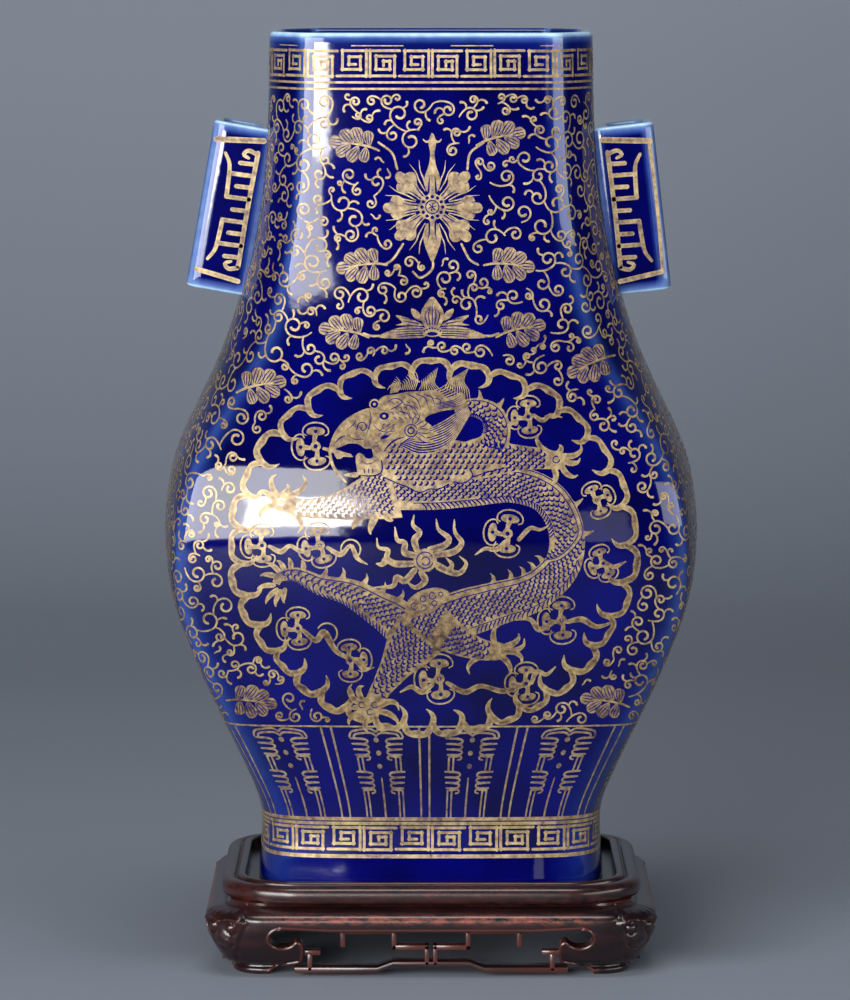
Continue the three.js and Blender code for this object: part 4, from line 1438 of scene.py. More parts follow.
def cloud(gilding, centre, turn=0, size=1.0, flip=1):
    """Three rounded heads on a thick stem, each half ringed by a line."""
    x, y = DRAGON_MIDDLE
    place = (
        MEDALLION[0] + (centre[0] - x) * DRAGON_UNIT,
        MEDALLION[1] - (centre[1] - y) * DRAGON_UNIT,
    )
    gilding.view(place, DRAGON_UNIT * size, turn, flip)
    head = [
        (29, 0), (30, 11), (34, 23), (43, 24), (50, 15), (52, 0), (50, -15), (43, -24), (34, -23),
        (30, -11),
    ]
    ring = [
        (29, 25), (34, 34), (48, 33), (60, 20), (64, 0), (60, -20), (48, -33), (34, -34), (29, -25),
    ]
    for angle in CLOUD_HEADS:
        gilding.stroke(turned([(0, 0), (16, 3), (34, 0)], angle), (2.1, 1.3, 1.9))
        gilding.shape(turned(head, angle))
        gilding.stroke(turned(ring, angle), (0.4, 0.52, 0.56, 0.52, 0.4))
    gilding.dot((0, 0), 14)
    gilding.marks()
    gilding.dot((0, 0), 6)
    for angle in CLOUD_HEADS:
        a = math.radians(angle)
        gilding.dot((40 * math.cos(a), 40 * math.sin(a)), 5)
    gilding.bare = 0
    dragon_view(gilding)


def wisp(gilding, points, widths=(1.2, 1.9, 1.3, 1.7, 0.4)):
    """A cloud's wavering tail."""
    gilding.stroke(points, widths)


def clouds(gilding):
    cloud(gilding, (478, 290), 0)
    wisp(gilding, [(500, 296), (530, 304), (572, 312)], (1.0, 1.4, 0.5))
    cloud(gilding, (335, 558), 0, 0.9)
    cloud(gilding, (490, 556), 10, 0.95)
    wisp(gilding, [(355, 560), (385, 574), (410, 558), (440, 572), (480, 560)])
    wisp(gilding, [(510, 562), (545, 580), (572, 556), (590, 590), (616, 606)])
    gilding.stroke(arc_path((572, 566), 26, -40, 190, flat=-1), 0.55)
    cloud(gilding, (990, 524), -10)
    wisp(gilding, [(985, 545), (960, 566), (930, 564), (904, 580)], (1.4, 1.8, 1.3, 0.4))
    wisp(gilding, [(1020, 540), (1050, 510), (1076, 514), (1100, 504)], (1.4, 1.6, 1.2, 0.4))
    cloud(gilding, (1046, 210), 0, 0.9)
    wisp(gilding, [(1060, 206), (1084, 220), (1106, 206), (1136, 212)], (1.2, 1.7, 1.3, 0.4))
    cloud(gilding, (1228, 436), 200, 0.8)
    cloud(gilding, (1246, 606), 20, 0.8)
    wisp(gilding, [(1255, 606), (1275, 616), (1306, 602)], (1.3, 1.6, 0.5))
    cloud(gilding, (430, 780), 0, 0.9)
    cloud(gilding, (570, 866), 180, 0.9)
    wisp(gilding, [(445, 786), (478, 812), (500, 790), (530, 838), (565, 860)], (1.4, 2.0, 2.4, 1.8, 1.4))
    gilding.stroke(arc_path((508, 792), 27, -60, 150, flat=-1), 0.55)
    wisp(gilding, [(585, 866), (606, 888), (634, 884)], (1.4, 1.6, 0.4))
    cloud(gilding, (1135, 758), 0)
    wisp(gilding, [(1150, 762), (1190, 756), (1230, 776), (1280, 762)], (1.4, 2.2, 1.5, 0.6))
    wisp(gilding, [(1110, 766), (1075, 782), (1050, 754), (1004, 756)], (1.4, 2.0, 1.4, 0.4))
    cloud(gilding, (808, 915), 0, 1.05)
    cloud(gilding, (1042, 928), 0, 0.9)
    wisp(gilding, [(790, 930), (762, 950), (735, 936), (704, 950)], (1.4, 2.0, 1.6, 0.5))
    wisp(gilding, [(830, 926), (876, 950), (920, 934), (980, 948), (1036, 932)], (1.4, 2.0, 1.5, 1.9, 1.4))
    wisp(gilding, [(1056, 926), (1070, 896), (1096, 904), (1120, 884)], (1.4, 1.8, 1.4, 0.5))


def pearl(gilding):
    """The pearl, a coil in a ring of flames."""
    for points in (
        [(748, 566), (742, 540), (756, 520), (738, 500), (741, 474)],
        [(782, 566), (820, 556), (834, 536), (806, 512), (800, 484)],
        [(800, 580), (846, 572), (868, 548), (850, 520), (848, 486)],
        [(800, 606), (830, 622), (842, 606), (826, 588)],
        [(806, 614), (858, 630), (880, 604), (862, 584)],
        [(744, 582), (716, 574), (716, 548), (696, 540), (690, 506)],
        [(736, 604), (690, 604), (668, 588), (672, 568), (646, 560), (642, 536)],
        [(742, 622), (716, 650), (694, 640), (684, 664), (634, 668)],
        [(760, 628), (770, 650), (744, 668), (720, 650)],
        [(668, 590), (656, 606), (640, 604)],
    ):
        gilding.stroke(points, (2.0, 2.4, 1.9, 1.3, 0.35))
    gilding.dot((770, 595), 32)
    gilding.marks()
    gilding.stroke(arc_path((770, 595), 22, 20, 330), 0.4)
    gilding.stroke(arc_path((772, 597), 11, 200, 500), 0.4)
    gilding.over()


def dragon(gilding):
    dragon_view(gilding)
    clouds(gilding)
    pearl(gilding)
    dragon_tail(gilding)
    dragon_body(gilding)
    dragon_haunches(gilding)
    dragon_forelegs(gilding)
    dragon_head(gilding)
    gilding.view()


def plain_medallion(gilding):
    """The back's medallion: a large lotus with clouds round it."""
    dragon_view(gilding)
    x, y = DRAGON_MIDDLE
    for i in range(12):
        a = (i + 0.5) * math.pi / 6
        way = 1 if i % 2 else -1
        place = np.array((x + 360 * math.cos(a), y - 335 * math.sin(a)))
        cloud(gilding, place, 30 * i, 0.95)
        along = np.array((math.sin(a), math.cos(a)))
        out = np.array((math.cos(a), -math.sin(a)))
        for end in (-1, 1):
            wisp(gilding, [
                place + end * along * 24, place + end * along * 44 + out * 9 * way,
                place + end * along * 60 - out * 7 * way, place + end * along * 78,
            ], (1.3, 1.8, 1.3, 0.4))
    for i in range(8):
        a = (i + 0.5) * math.pi / 4
        place = np.array((x + 205 * math.cos(a), y - 205 * math.sin(a)))
        cloud(gilding, place, 45 * i + 90, 0.8)
    gilding.view()
    lotus_rosette(gilding, MEDALLION, 1.15)


# The scrolling stems that fill the rest

CURL_GAP = 1.12  # free space kept round a new stem
SHOOT_SIZES = ((3.6, 0.85), (2.6, 0.62), (2.0, 0.46))  # spacing of the places tried, and size
SCROLL_TOP = 303.2


class Scrollwork:
    """Stems that branch and curl over the free ground of one half of the vase."""

    def __init__(self, gilding, ground, rng):
        self.gilding = gilding
        self.ground = ground
        self.rng = rng
        self.buds = []
        self.stems = []

    def within(self, path):
        """Whether a path stays on this half, between the lappets and the upper lines."""
        away, height = path.T
        low = LAPPET_TOP + 1.4 - SEAT
        high = SCROLL_TOP - SEAT
        inside = (height > low) & (height < high) & (np.abs(away) < skin.quarter(height) - 0.8)
        return bool(inside.all())

    def curl(self, start, heading, way, reach, radius, turns, size):
        """A bend that tightens into a spiral; way is 1 for a turn to the left."""
        point = np.array(start, float)
        path = [point]
        step = STROKE_STEP
        first = self.rng.uniform(6, 10) * size
        shrink = 0.62 / (turns * 2 * math.pi * 0.65)
        run = 0
        turned_by = 0
        while turned_by < turns * 2 * math.pi:
            if run < reach:
                bend = 1 / first
            else:
                bend = 1 / max(radius, 0.5)
                turned_by += step * bend
                radius -= step * shrink
            heading += way * step * bend
            point = point + step * np.array([math.cos(heading), math.sin(heading)])
            path.append(point)
            run += step
        return np.array(path)

    def grow(self, start, heading, way, size=1.0):
        """Draws one curl where there is room, and plans its branches."""
        for attempt in range(10):
            small = size * (1 - 0.06 * attempt)
            reach = self.rng.uniform(2, 7) * small
            radius = self.rng.uniform(2.6, 3.7) * small
            turns = self.rng.uniform(0.85, 1.15) if size > 0.6 else self.rng.uniform(0.5, 0.8)
            tilt = self.rng.uniform(-0.5, 0.5)
            path = self.curl(start, heading + tilt, way, reach, radius, turns, small)
            if self.within(path) and self.ground.free(path[4:], CURL_GAP * min(1, size + 0.25)):
                break
        else:
            return False
        self.gilding.stroke(path, (0.5, 0.62, 0.64, 0.66, 0.72, 0.95), smooth=False)
        self.gilding.dot(path[-1], 0.5)
        self.stems.append(path)
        along, _ = sides_of(path)
        headings = np.arctan2(along[:, 1], along[:, 0])
        split = int(reach / STROKE_STEP)
        for i in (max(split // 2, 2), split + 3, split + 11):
            i = min(i, len(path) - 6)
            self.buds.append((path[i], headings[i] - way * 0.45, -way, size))
        for i in (split + 1, split + 7, split + 14):
            i = min(i, len(path) - 7)
            self.spur(path[i], headings[i] - way * self.rng.uniform(0.4, 0.9), -way)
        return True

    def spur(self, start, heading, way):
        """A short hooked side shoot."""
        point = np.array(start, float)
        path = [point]
        bend = self.rng.uniform(0.3, 0.6)
        for i in range(self.rng.choice((5, 6, 7))):
            heading += way * bend * (0.4 if i < 2 else 1.3) * STROKE_STEP
            point = point + STROKE_STEP * np.array([math.cos(heading), math.sin(heading)])
            path.append(point)
        path = np.array(path)
        if self.within(path) and self.ground.free(path[3:], CURL_GAP * 0.75):
            self.gilding.stroke(path, (0.5, 0.6, 0.7, 0.9), smooth=False)
            self.gilding.dot(path[-1], 0.46)

    def comma(self, start):
        """A small loose hook with a round end."""
        for attempt in range(6):
            heading = self.rng.uniform(0, 2 * math.pi)
            way = self.rng.choice((-1, 1))
            point = np.array(start, float)
            path = [point]
            for i in range(self.rng.choice((6, 7, 8))):
                heading += way * (-0.35 if i < 3 else 0.95) * STROKE_STEP
                point = point + STROKE_STEP * np.array([math.cos(heading), math.sin(heading)])
                path.append(point)
            path = np.array(path)
            if self.within(path) and self.ground.free(path, 0.95):
                self.gilding.stroke(path, (0.4, 0.6, 0.66, 0.85), smooth=False)
                self.gilding.dot(path[-1], 0.48)
                return

    def nearest(self, place):
        """The drawn stem's point that is nearest to a place."""
        known = np.vstack(self.stems)
        away = np.hypot(*(known - place).T)
        return known[int(np.argmin(away))], float(away.min())

    def grow_all(self):
        while self.buds:
            self.grow(*self.buds.pop(0))

    def fill(self, seeds):
        """Grows from the seeds, then from free places, then fills what is left from the stems."""
        self.buds = [(*seed, 1.0) for seed in seeds]
        self.grow_all()
        for place in self.places(4.5):
            if self.ground.free(place[None], 2.3):
                heading = self.rng.uniform(0, 2 * math.pi)
                self.grow(place, heading, self.rng.choice((-1, 1)))
                self.grow_all()
        for spacing, size in SHOOT_SIZES:
            for place in self.places(spacing):
                if not self.ground.free(place[None], 1.3 + size):
                    continue
                start, away = self.nearest(place)
                if away > 9:
                    continue
                heading = math.atan2(*(place - start)[::-1])
                for way in (-1, 1):
                    if self.grow(start, heading - way * 0.5, way, size):
                        break
                self.grow_all()
        for place in self.places(2.2):
            if self.ground.free(place[None], 1.45):
                self.comma(place)

    def places(self, spacing):
        """Points all over this half, in a shuffled order."""
        found = []
        for height in np.arange(LAPPET_TOP + 2 - SEAT, 303 - SEAT, spacing):
            quarter = skin.quarter(height)
            for away in np.arange(-quarter + 1, quarter - 1, spacing):
                shift = self.rng.uniform(-1, 1)
                found.append(np.array([away + shift, height]))
        self.rng.shuffle(found)
        return found


def whole_skin(points):
    """Lays a drawing that is already given by arc and height."""
    return points


def leaf_tips():
    """Where stems leave the outer ends of the leaves, by arc from the face's middle and height."""
    tips = []
    for x, z, heading in (
        (36, 285, -20), (36, 243, -10), (41, 222, -30), (64, 208, 60), (68, 97, 10), (50, 203, 200),
    ):
        for side in (-1, 1):
            laid = seen(FRONT)(np.array([[side * x, z]], float))[0]
            angle = math.radians(heading if side > 0 else 180 - heading)
            tips.append((laid, angle, side))
    return tips


def seam_lines(gilding):
    """A gold line down each side of each handle, where it meets the neck."""
    for middle in (RIGHT, LEFT):
        for side in (-1, 1):
            line = []
            for height in (264, 250, 232, 214, 205.5):
                quarter = skin.quarter(height)
                line.append((middle * quarter + side * (HANDLE_DEPTH / 2 + 3), height))
            gilding.stroke(line, (0.55, 0.8, 0.7, 0.85, 0.8))
            gilding.dot(line[-1], 1.0)


def handle_ornament(gilding, framed):
    """Bands at the ends of a handle's face and a ladder of rungs and hooks between them."""
    gilding.stroke([(9.3, 22.8), (-7.0, 25.0)], 2.0, smooth=False)
    gilding.stroke([(8.6, -22.8), (-6.4, -24.6)], 1.7, smooth=False)
    if framed:
        gilding.stroke([(9.0, 22.6), (9.3, 0), (8.8, -22.4)], 1.1)
    spine = -5.4
    gilding.stroke([(spine - 0.3, 20.5), (spine, 0), (spine - 0.2, -19.5)], 1.6)
    for row in range(9):
        reach = 8.0 if row % 2 else 5.2
        z = 16.4 - row * 4.1
        gilding.stroke([(spine, z), (spine + reach, z - 0.3)], 1.5, smooth=False)
    for high in (1, -1):
        gilding.stroke([
            (spine, high * 20), (spine + 3, high * 20.8), (spine + 4.6, high * 19.2),
            (spine + 2.6, high * 18.2),
        ], (1.5, 1.5, 1.3, 1.0))
        gilding.stroke([
            (spine + 8, high * 4.1 - 0.2), (spine + 8.2, high * 9), (spine + 8.8, high * 15),
            (spine + 10.8, high * 18.6),
        ], (1.5, 1.5, 1.4, 1.1))


def gilded_handle(side, material):
    """The gilding on a handle's front, and its plainer bands on the back."""
    handle = Handle(side)
    for face, name in ((-1, "front"), (1, "back")):
        painting = Gilding(f"gilt_{handle.word}_handle_{name}", whole_skin)
        painting.view(flip=-side * face)
        if face < 0:
            handle_ornament(painting, side > 0)
        else:
            painting.stroke([(9.3, 23), (-7.0, 25)], 2.0, smooth=False)
            painting.stroke([(8.6, -22.8), (-6.4, -24.6)], 1.7, smooth=False)

        def on_handle(laid, lifts):
            away = laid[:, 0] * -side * face
            proud = np.full(len(laid), face * HANDLE_DEPTH / 2) + face * lifts[:, 0]
            return handle.placed(np.stack([away, proud, laid[:, 1]], axis=1))

        painting.made(material, on_handle)


# The carved stand

LIP_TOP = STAND_TOP
RING_BOTTOM = 25.2
BOARD_BOTTOM = 21
APRON_BOTTOM = 16.8
SEAT_CLEARANCE = 3
RING_WIDTH = 8.6
SEAT_CORNER = 18
LEG_CORNER = 15
LEG_FLARE = 5
SKIRT_THICKNESS = 9
LEG_SPAN = 29
SCROLL_HOLE_WIDTH = 4.7
SCROLL_HOLE_HEIGHT = 3.5
SCROLL_HOLE_DROP = 2.7
LOBE_ROUND = 2.4
HEEL_HEIGHT = 5
TOE_REACH = 12.2
BAR = 1.8
FRET_DEPTH = 5
FRET_JOINT = 0.6
LONG_DROP = 6.4
LOW_BAR_DROP = 5.6
BRACKET_LENGTH = 6
BRACKET_POST_INSET = 3.2
STRETCHER_DEPTH = 9
STRETCHER_THICKNESS = 2
STRETCHER_CLEARANCE = 1.4
STRETCHER_RISE = 2
EDGE_ROUND = 0.35
MASK_DEPTH = 0.8
WEAR_AND_HIGHLIGHT_BAND_HEIGHT = 20.8  # of the apron's lighter band, partly wear and partly a painted highlight on its moulding
RING_LOW = 24  # the ring above this is painted a little lighter than the legs, as painted light
BEAD = 0.6
BEAD_SIDES = 8
RING_HALF_X = FOOT_WIDTH / 2 + SEAT_CLEARANCE + RING_WIDTH
RING_HALF_Y = FOOT_DEPTH / 2 + SEAT_CLEARANCE + RING_WIDTH
RING_CORNER = SEAT_CORNER + RING_WIDTH
FACE_HALVES = (RING_HALF_Y, RING_HALF_X, RING_HALF_Y, RING_HALF_X)


def moulding(profile, half_x, half_y, rounding, corner_steps=24, side_steps=24):
    """A closed profile of (offset outwards, height), run round a rounded rectangle."""
    profile = np.asarray(profile, float)
    points, outs = walk_round(half_x, half_y, rounding, corner_steps, side_steps)
    rings = []
    for point, out in zip(points, outs):
        at = point + out * profile[:, :1]
        rings.append(np.column_stack([at, profile[:, 1]]))
    return skinned(rings, capped=False)


def top_ring():
    """The ring round the vase's foot: an inner bead, a groove and a rolled outer edge."""
    w = RING_WIDTH
    rolled = [
        (-0.16 * w, 0), (-0.07 * w, 0.06), (-0.02 * w, 0.2), (0, 0.42), (-0.03 * w, 0.62),
        (-0.12 * w, 0.78), (-0.26 * w, 0.87), (-0.44 * w, 0.89),
    ]
    beaded = [
        (-0.52 * w, 0.84), (-0.6 * w, 0.74), (-0.66 * w, 0.78), (-0.69 * w, 0.92),
        (-0.76 * w, 0.99), (-0.86 * w, 1), (-0.95 * w, 0.98), (-w, 0.9), (-w, 0.45), (-w, 0),
    ]
    rise = LIP_TOP - RING_BOTTOM
    run = curve([(x, share * rise) for x, share in rolled], 0.4)
    bead = curve([(x, share * rise) for x, share in beaded], 0.4)
    profile = np.vstack([run, bead]) + (0, RING_BOTTOM)
    return moulding(profile, RING_HALF_X, RING_HALF_Y, RING_CORNER)


def seat_board():
    inside = RING_WIDTH * 0.55
    corner = RING_CORNER - inside
    rings = []
    for inset, z in ((0.6, BOARD_BOTTOM), (0, BOARD_BOTTOM + 0.6), (0, SEAT - 0.3), (0.3, SEAT)):
        half_x = RING_HALF_X - inside - inset
        half_y = RING_HALF_Y - inside - inset
        points, _ = walk_round(half_x, half_y, corner - inset, 16, 4)
        rings.append(np.column_stack([points, np.full(len(points), z)]))
    return skinned(rings)


def skirt_outer():
    """The outer line of the apron and the legs, from the sole up: (offset outwards, height)."""
    k = LEG_FLARE
    r = RING_BOTTOM
    return curve([
        (-1.1 * k, 0), (-0.9 * k, 0.03 * r), (-0.9 * k, 0.08 * r), (-1.05 * k, 0.125 * r),
        (-0.3 * k, 0.18 * r), (0.2 * k, 0.3 * r), (0.6 * k, 0.44 * r), (0.9 * k, 0.62 * r),
        (k, 0.76 * r), (0.95 * k, 0.83 * r), (0.66 * k, 0.89 * r), (0, 0.935 * r),
        (-0.5 * k, 0.96 * r), (-0.7 * k, r),
    ], 0.5)


def skirt_offset(z):
    """How far the apron and the legs stand out past the ring at a height."""
    line = skirt_outer()
    order = np.argsort(line[:, 1])
    return np.interp(z, line[order, 1], line[order, 0])


def opening_outline(half):
    """The opening in one face of the skirt, seen from outside: (across, height) points."""
    hole_x = half + 1.5 * SCROLL_HOLE_WIDTH
    hole_z = APRON_BOTTOM - SCROLL_HOLE_DROP
    lobe_x = half + LOBE_ROUND
    lobe_z = hole_z - SCROLL_HOLE_HEIGHT * 0.35 - LOBE_ROUND
    toe = half + TOE_REACH
    heel = curve([
        (toe, 0), (toe - TOE_REACH * 0.04, HEEL_HEIGHT * 0.26),
        (half + TOE_REACH * 0.53, HEEL_HEIGHT * 0.74), (half + TOE_REACH * 0.1, HEEL_HEIGHT),
        (half, mix(HEEL_HEIGHT, lobe_z, 0.5)),
    ])
    lobe = arc_path((lobe_x, lobe_z), LOBE_ROUND, 180, 90, 0.5)
    flat = SCROLL_HOLE_HEIGHT / SCROLL_HOLE_WIDTH
    hole = arc_path((hole_x, hole_z), SCROLL_HOLE_WIDTH, -148, 90, 0.6, flat)
    return np.vstack([[(toe, -1)], heel, lobe, hole, [(half * 0.8, APRON_BOTTOM)]])


def mirrored(path):
    """A path that starts on the right, closed by its mirror image on the left."""
    return np.vstack([path, path[::-1] * (-1, 1)])


def prism(outline, back, front, rounded=EDGE_ROUND):
    """A solid drawn upright in X and Z from behind its face to in front, its edges rounded."""
    made = bmesh.new()
    lower = [made.verts.new((x, front, z)) for x, z in outline]
    face = made.faces.new(lower)
    pushed = bmesh.ops.extrude_face_region(made, geom=[face])["geom"]
    moved = [v for v in pushed if isinstance(v, bmesh.types.BMVert)]
    bmesh.ops.translate(made, verts=moved, vec=(0, back - front, 0))
    bmesh.ops.recalc_face_normals(made, faces=made.faces)
    if rounded:
        bmesh.ops.bevel(
            made, geom=list(made.edges), offset=rounded, segments=2, profile=0.5,
            affect="EDGES", clamp_overlap=True,
        )
    made.verts.index_update()
    points = np.array([v.co for v in made.verts])
    faces = [tuple(v.index for v in f.verts) for f in made.faces]
    made.free()
    return points, faces


def on_face(part, quarter):
    """Puts a part that faces -Y on one of the stand's four faces."""
    points, faces = part
    a = quarter * math.pi / 2
    turn = np.array([[math.cos(a), math.sin(a), 0], [-math.sin(a), math.cos(a), 0], [0, 0, 1]])
    return (points - (0, FACE_HALVES[quarter], 0)) @ turn, faces


def fretwork(half):
    """The stepped bars under the apron, the middle posts, the brackets and the low stretcher."""
    outer = half * 0.71
    inner = half * 0.31
    upper = APRON_BOTTOM + FRET_JOINT
    low_bar = APRON_BOTTOM - LOW_BAR_DROP
    inside = BAR * 0.35
    foot = STRETCHER_CLEARANCE + STRETCHER_RISE + STRETCHER_THICKNESS * 0.3
    post = half - BRACKET_POST_INSET
    boxes = (
        (inner - BAR, outer, APRON_BOTTOM - BAR, upper),
        (outer - BAR, outer, APRON_BOTTOM - LONG_DROP, upper),
        (inner - BAR, inner, low_bar - BAR, upper),
        (inside, inner, low_bar - BAR, low_bar),
        (inside, inside + BAR * 0.9, foot, low_bar),
        (half - BRACKET_LENGTH, half + BAR, low_bar - 2 * BAR, low_bar - BAR),
        (post, post + BAR, STRETCHER_THICKNESS, low_bar - 1.5 * BAR),
    )
    parts = []
    for side in (-1, 1):
        for x0, x1, z0, z1 in boxes:
            box = [(side * x0, z0), (side * x1, z0), (side * x1, z1), (side * x0, z1)]
            parts.append(prism(box, FRET_DEPTH, 0))
    low = STRETCHER_CLEARANCE
    high = low + STRETCHER_RISE
    under = [(half * 0.3, high), (half * 0.42, low), (half + TOE_REACH * 0.25, low)]
    over = [(x, z + STRETCHER_THICKNESS) for x, z in under[::-1]]
    parts.append(prism(mirrored(np.array(under + over)), STRETCHER_DEPTH, 0))
    return parts


def whole(parts):
    """Several parts as one list of points and one of faces."""
    points = []
    faces = []
    count = 0
    for part_points, part_faces in parts:
        points.append(part_points)
        faces += [tuple(i + count for i in face) for face in part_faces]
        count += len(part_points)
    return np.vstack(points), faces


def skirt():
    """The apron and the four legs: one bowed wall, with an opening cut in each face."""
    k = LEG_FLARE
    thick = SKIRT_THICKNESS
    inner = curve([
        (-thick + 0.2 * k, RING_BOTTOM), (-thick + 0.5 * k, 0.5 * RING_BOTTOM),
        (-thick - 0.2 * k, 0.2 * RING_BOTTOM), (-thick - 0.4 * k, 0),
    ], 3)
    profile = np.vstack([inner, skirt_outer()])[::-1]
    points, faces = moulding(profile, RING_HALF_X, RING_HALF_Y, LEG_CORNER, 64, 40)
    wall = mesh_object("skirt", carved(points), faces)
    cutters = []
    for quarter in range(4):
        along = FACE_HALVES[(quarter + 1) % 4] - LEG_SPAN
        deep = SKIRT_THICKNESS + LEG_FLARE * 0.4 + 1
        shape = prism(mirrored(opening_outline(along)), deep, -LEG_FLARE - 1, rounded=0)
        cutters.append(mesh_object("opening", *on_face(shape, quarter)))
        opening = wall.modifiers.new("opening", "BOOLEAN")
        opening.object = cutters[-1]
        opening.solver = "EXACT"
    shaped = wall.evaluated_get(bpy.context.evaluated_depsgraph_get()).to_mesh()
    points = np.array([v.co for v in shaped.vertices])
    faces = [tuple(f.vertices) for f in shaped.polygons]
    for made in (wall, *cutters):
        bpy.data.objects.remove(made)
    return points, faces


def swell(across, height, x, z, wide, high, tall):
    """One soft round rise of a carving."""
    return tall * np.exp(-(((across - x) / wide) ** 2 + ((height - z) / high) ** 2))


def mask_relief(across, height):
    """How far a beast's mask stands out from a knee, by distance from the corner and by height."""
    side = np.abs(across)
    edge = np.interp(height, (5, 9, 12.5, 16, 19, 22, 25.5), (1.5, 4.4, 6.3, 7.8, 9.6, 8.0, 5.0))
    inside = 1 / (1 + np.exp((side - edge) / 0.22))
    relief = inside - 0.5 * np.exp(-(((side - edge - 0.9) / 0.5) ** 2))
    features = (
        (0, 13.2, 2.3, 2.6, 1.5), (2.6, 12.4, 1.3, 1.3, 0.8), (0, 19.5, 1.3, 3.4, 0.8),
        (4.3, 17.4, 1.4, 1.3, 1.1), (5.6, 12.6, 1.7, 2.2, 0.7), (7.6, 19.6, 1.3, 1.3, 0.7),
        (2.4, 22.6, 1.2, 1.2, 0.8), (5.2, 23, 1.1, 1.1, 0.7), (0, 24, 1.0, 1.0, 0.6),
    )
    for x, z, wide, high, tall in features:
        relief += swell(side, height, x, z, wide, high, tall)
    ring = np.hypot(side - 4.3, (height - 17.4) * 1.1)
    relief -= 0.75 * np.exp(-(((ring - 2.3) / 0.45) ** 2))
    brow = 20.6 - 0.05 * (side - 4.5) ** 2
    relief += 0.8 * np.exp(-(((height - brow) / 0.7) ** 2)) * (side < 8)
    mouth = 9.9 + 0.09 * side ** 2
    relief -= 0.9 * np.exp(-(((height - mouth) / 0.5) ** 2)) * (side < 5)
    return relief * np.clip((RING_BOTTOM - height) / 1.5, 0, 1) * np.clip((height - 4) / 2, 0, 1)


def carved(points):
    """The knees' masks, raised on the outside of the skirt's round corners."""
    points = points.copy()
    centre = np.array([RING_HALF_X, RING_HALF_Y]) - LEG_CORNER
    corner = np.abs(points[:, :2]) - centre
    away = np.hypot(*corner.T)
    turn = np.arctan2(corner[:, 1], corner[:, 0]) - math.pi / 4
    outside = (corner.min(axis=1) > -LEG_CORNER * 0.2) & (away > LEG_CORNER - LEG_FLARE)
    relief = mask_relief(turn * (LEG_CORNER + LEG_FLARE), points[:, 2]) * outside
    out = corner / away[:, None] * np.sign(points[:, :2])
    points[:, :2] += out * relief[:, None] * MASK_DEPTH
    return points


def tube(path, radius):
    """A round line laid along a path that is drawn upright, bent out with the skirt."""
    _, left = sides_of(path)
    bent = np.stack([path[:, 0], -skirt_offset(path[:, 1]), path[:, 1]], axis=1)
    aside = np.stack([left[:, 0], 0 * left[:, 0], left[:, 1]], axis=1)
    rings = []
    for point, way in zip(bent, aside):
        turns = np.arange(BEAD_SIDES)[:, None] * 2 * math.pi / BEAD_SIDES
        rings.append(point + radius * (way * np.cos(turns) + np.array([0, -1, 0]) * np.sin(turns)))
    return skinned(rings)


def bead(half):
    """The raised line carved round an opening's edge."""
    right = opening_outline(half)[1:]
    right = curve(right[right[:, 1] > HEEL_HEIGHT * 0.2], 0.6)
    _, left = sides_of(right)
    return tube(mirrored(right - left * BEAD * 0.6), BEAD)


def carved_stand(material):
    """The whole stand as one piece, marked for the wood where it is lighter: its apron's band for wear and a
    painted highlight, its ring as painted light.
    """
    parts = [skirt(), top_ring(), seat_board()]
    for quarter in range(4):
        along = FACE_HALVES[(quarter + 1) % 4] - LEG_SPAN
        parts += [on_face(part, quarter) for part in (*fretwork(along), bead(along))]
    points, faces = whole(parts)
    piece = mesh_piece("carved_stand", points, faces, material)
    piece.data.set_sharp_from_angle(angle=math.radians(38))
    x, y, z = np.abs(points).T
    straight = np.clip((RING_HALF_X - x) / 12 - 1, 0, 1) + np.clip((RING_HALF_Y - y) / 12 - 1, 0, 1)
    # The apron's band is lighter on the straight faces: partly wear, partly a painted highlight.
    wear_and_painted_light = np.exp(-(((z - WEAR_AND_HIGHLIGHT_BAND_HEIGHT) / 1.3) ** 2)) * np.clip(straight, 0, 1)
    # The ring is painted a little lighter than the legs: painted light.
    wear_and_painted_light += 0.12 * np.clip((z - RING_LOW) / 0.8, 0, 1)
    float_attribute(piece, "wear_and_painted_light", wear_and_painted_light)
    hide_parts("stand")


# Materials


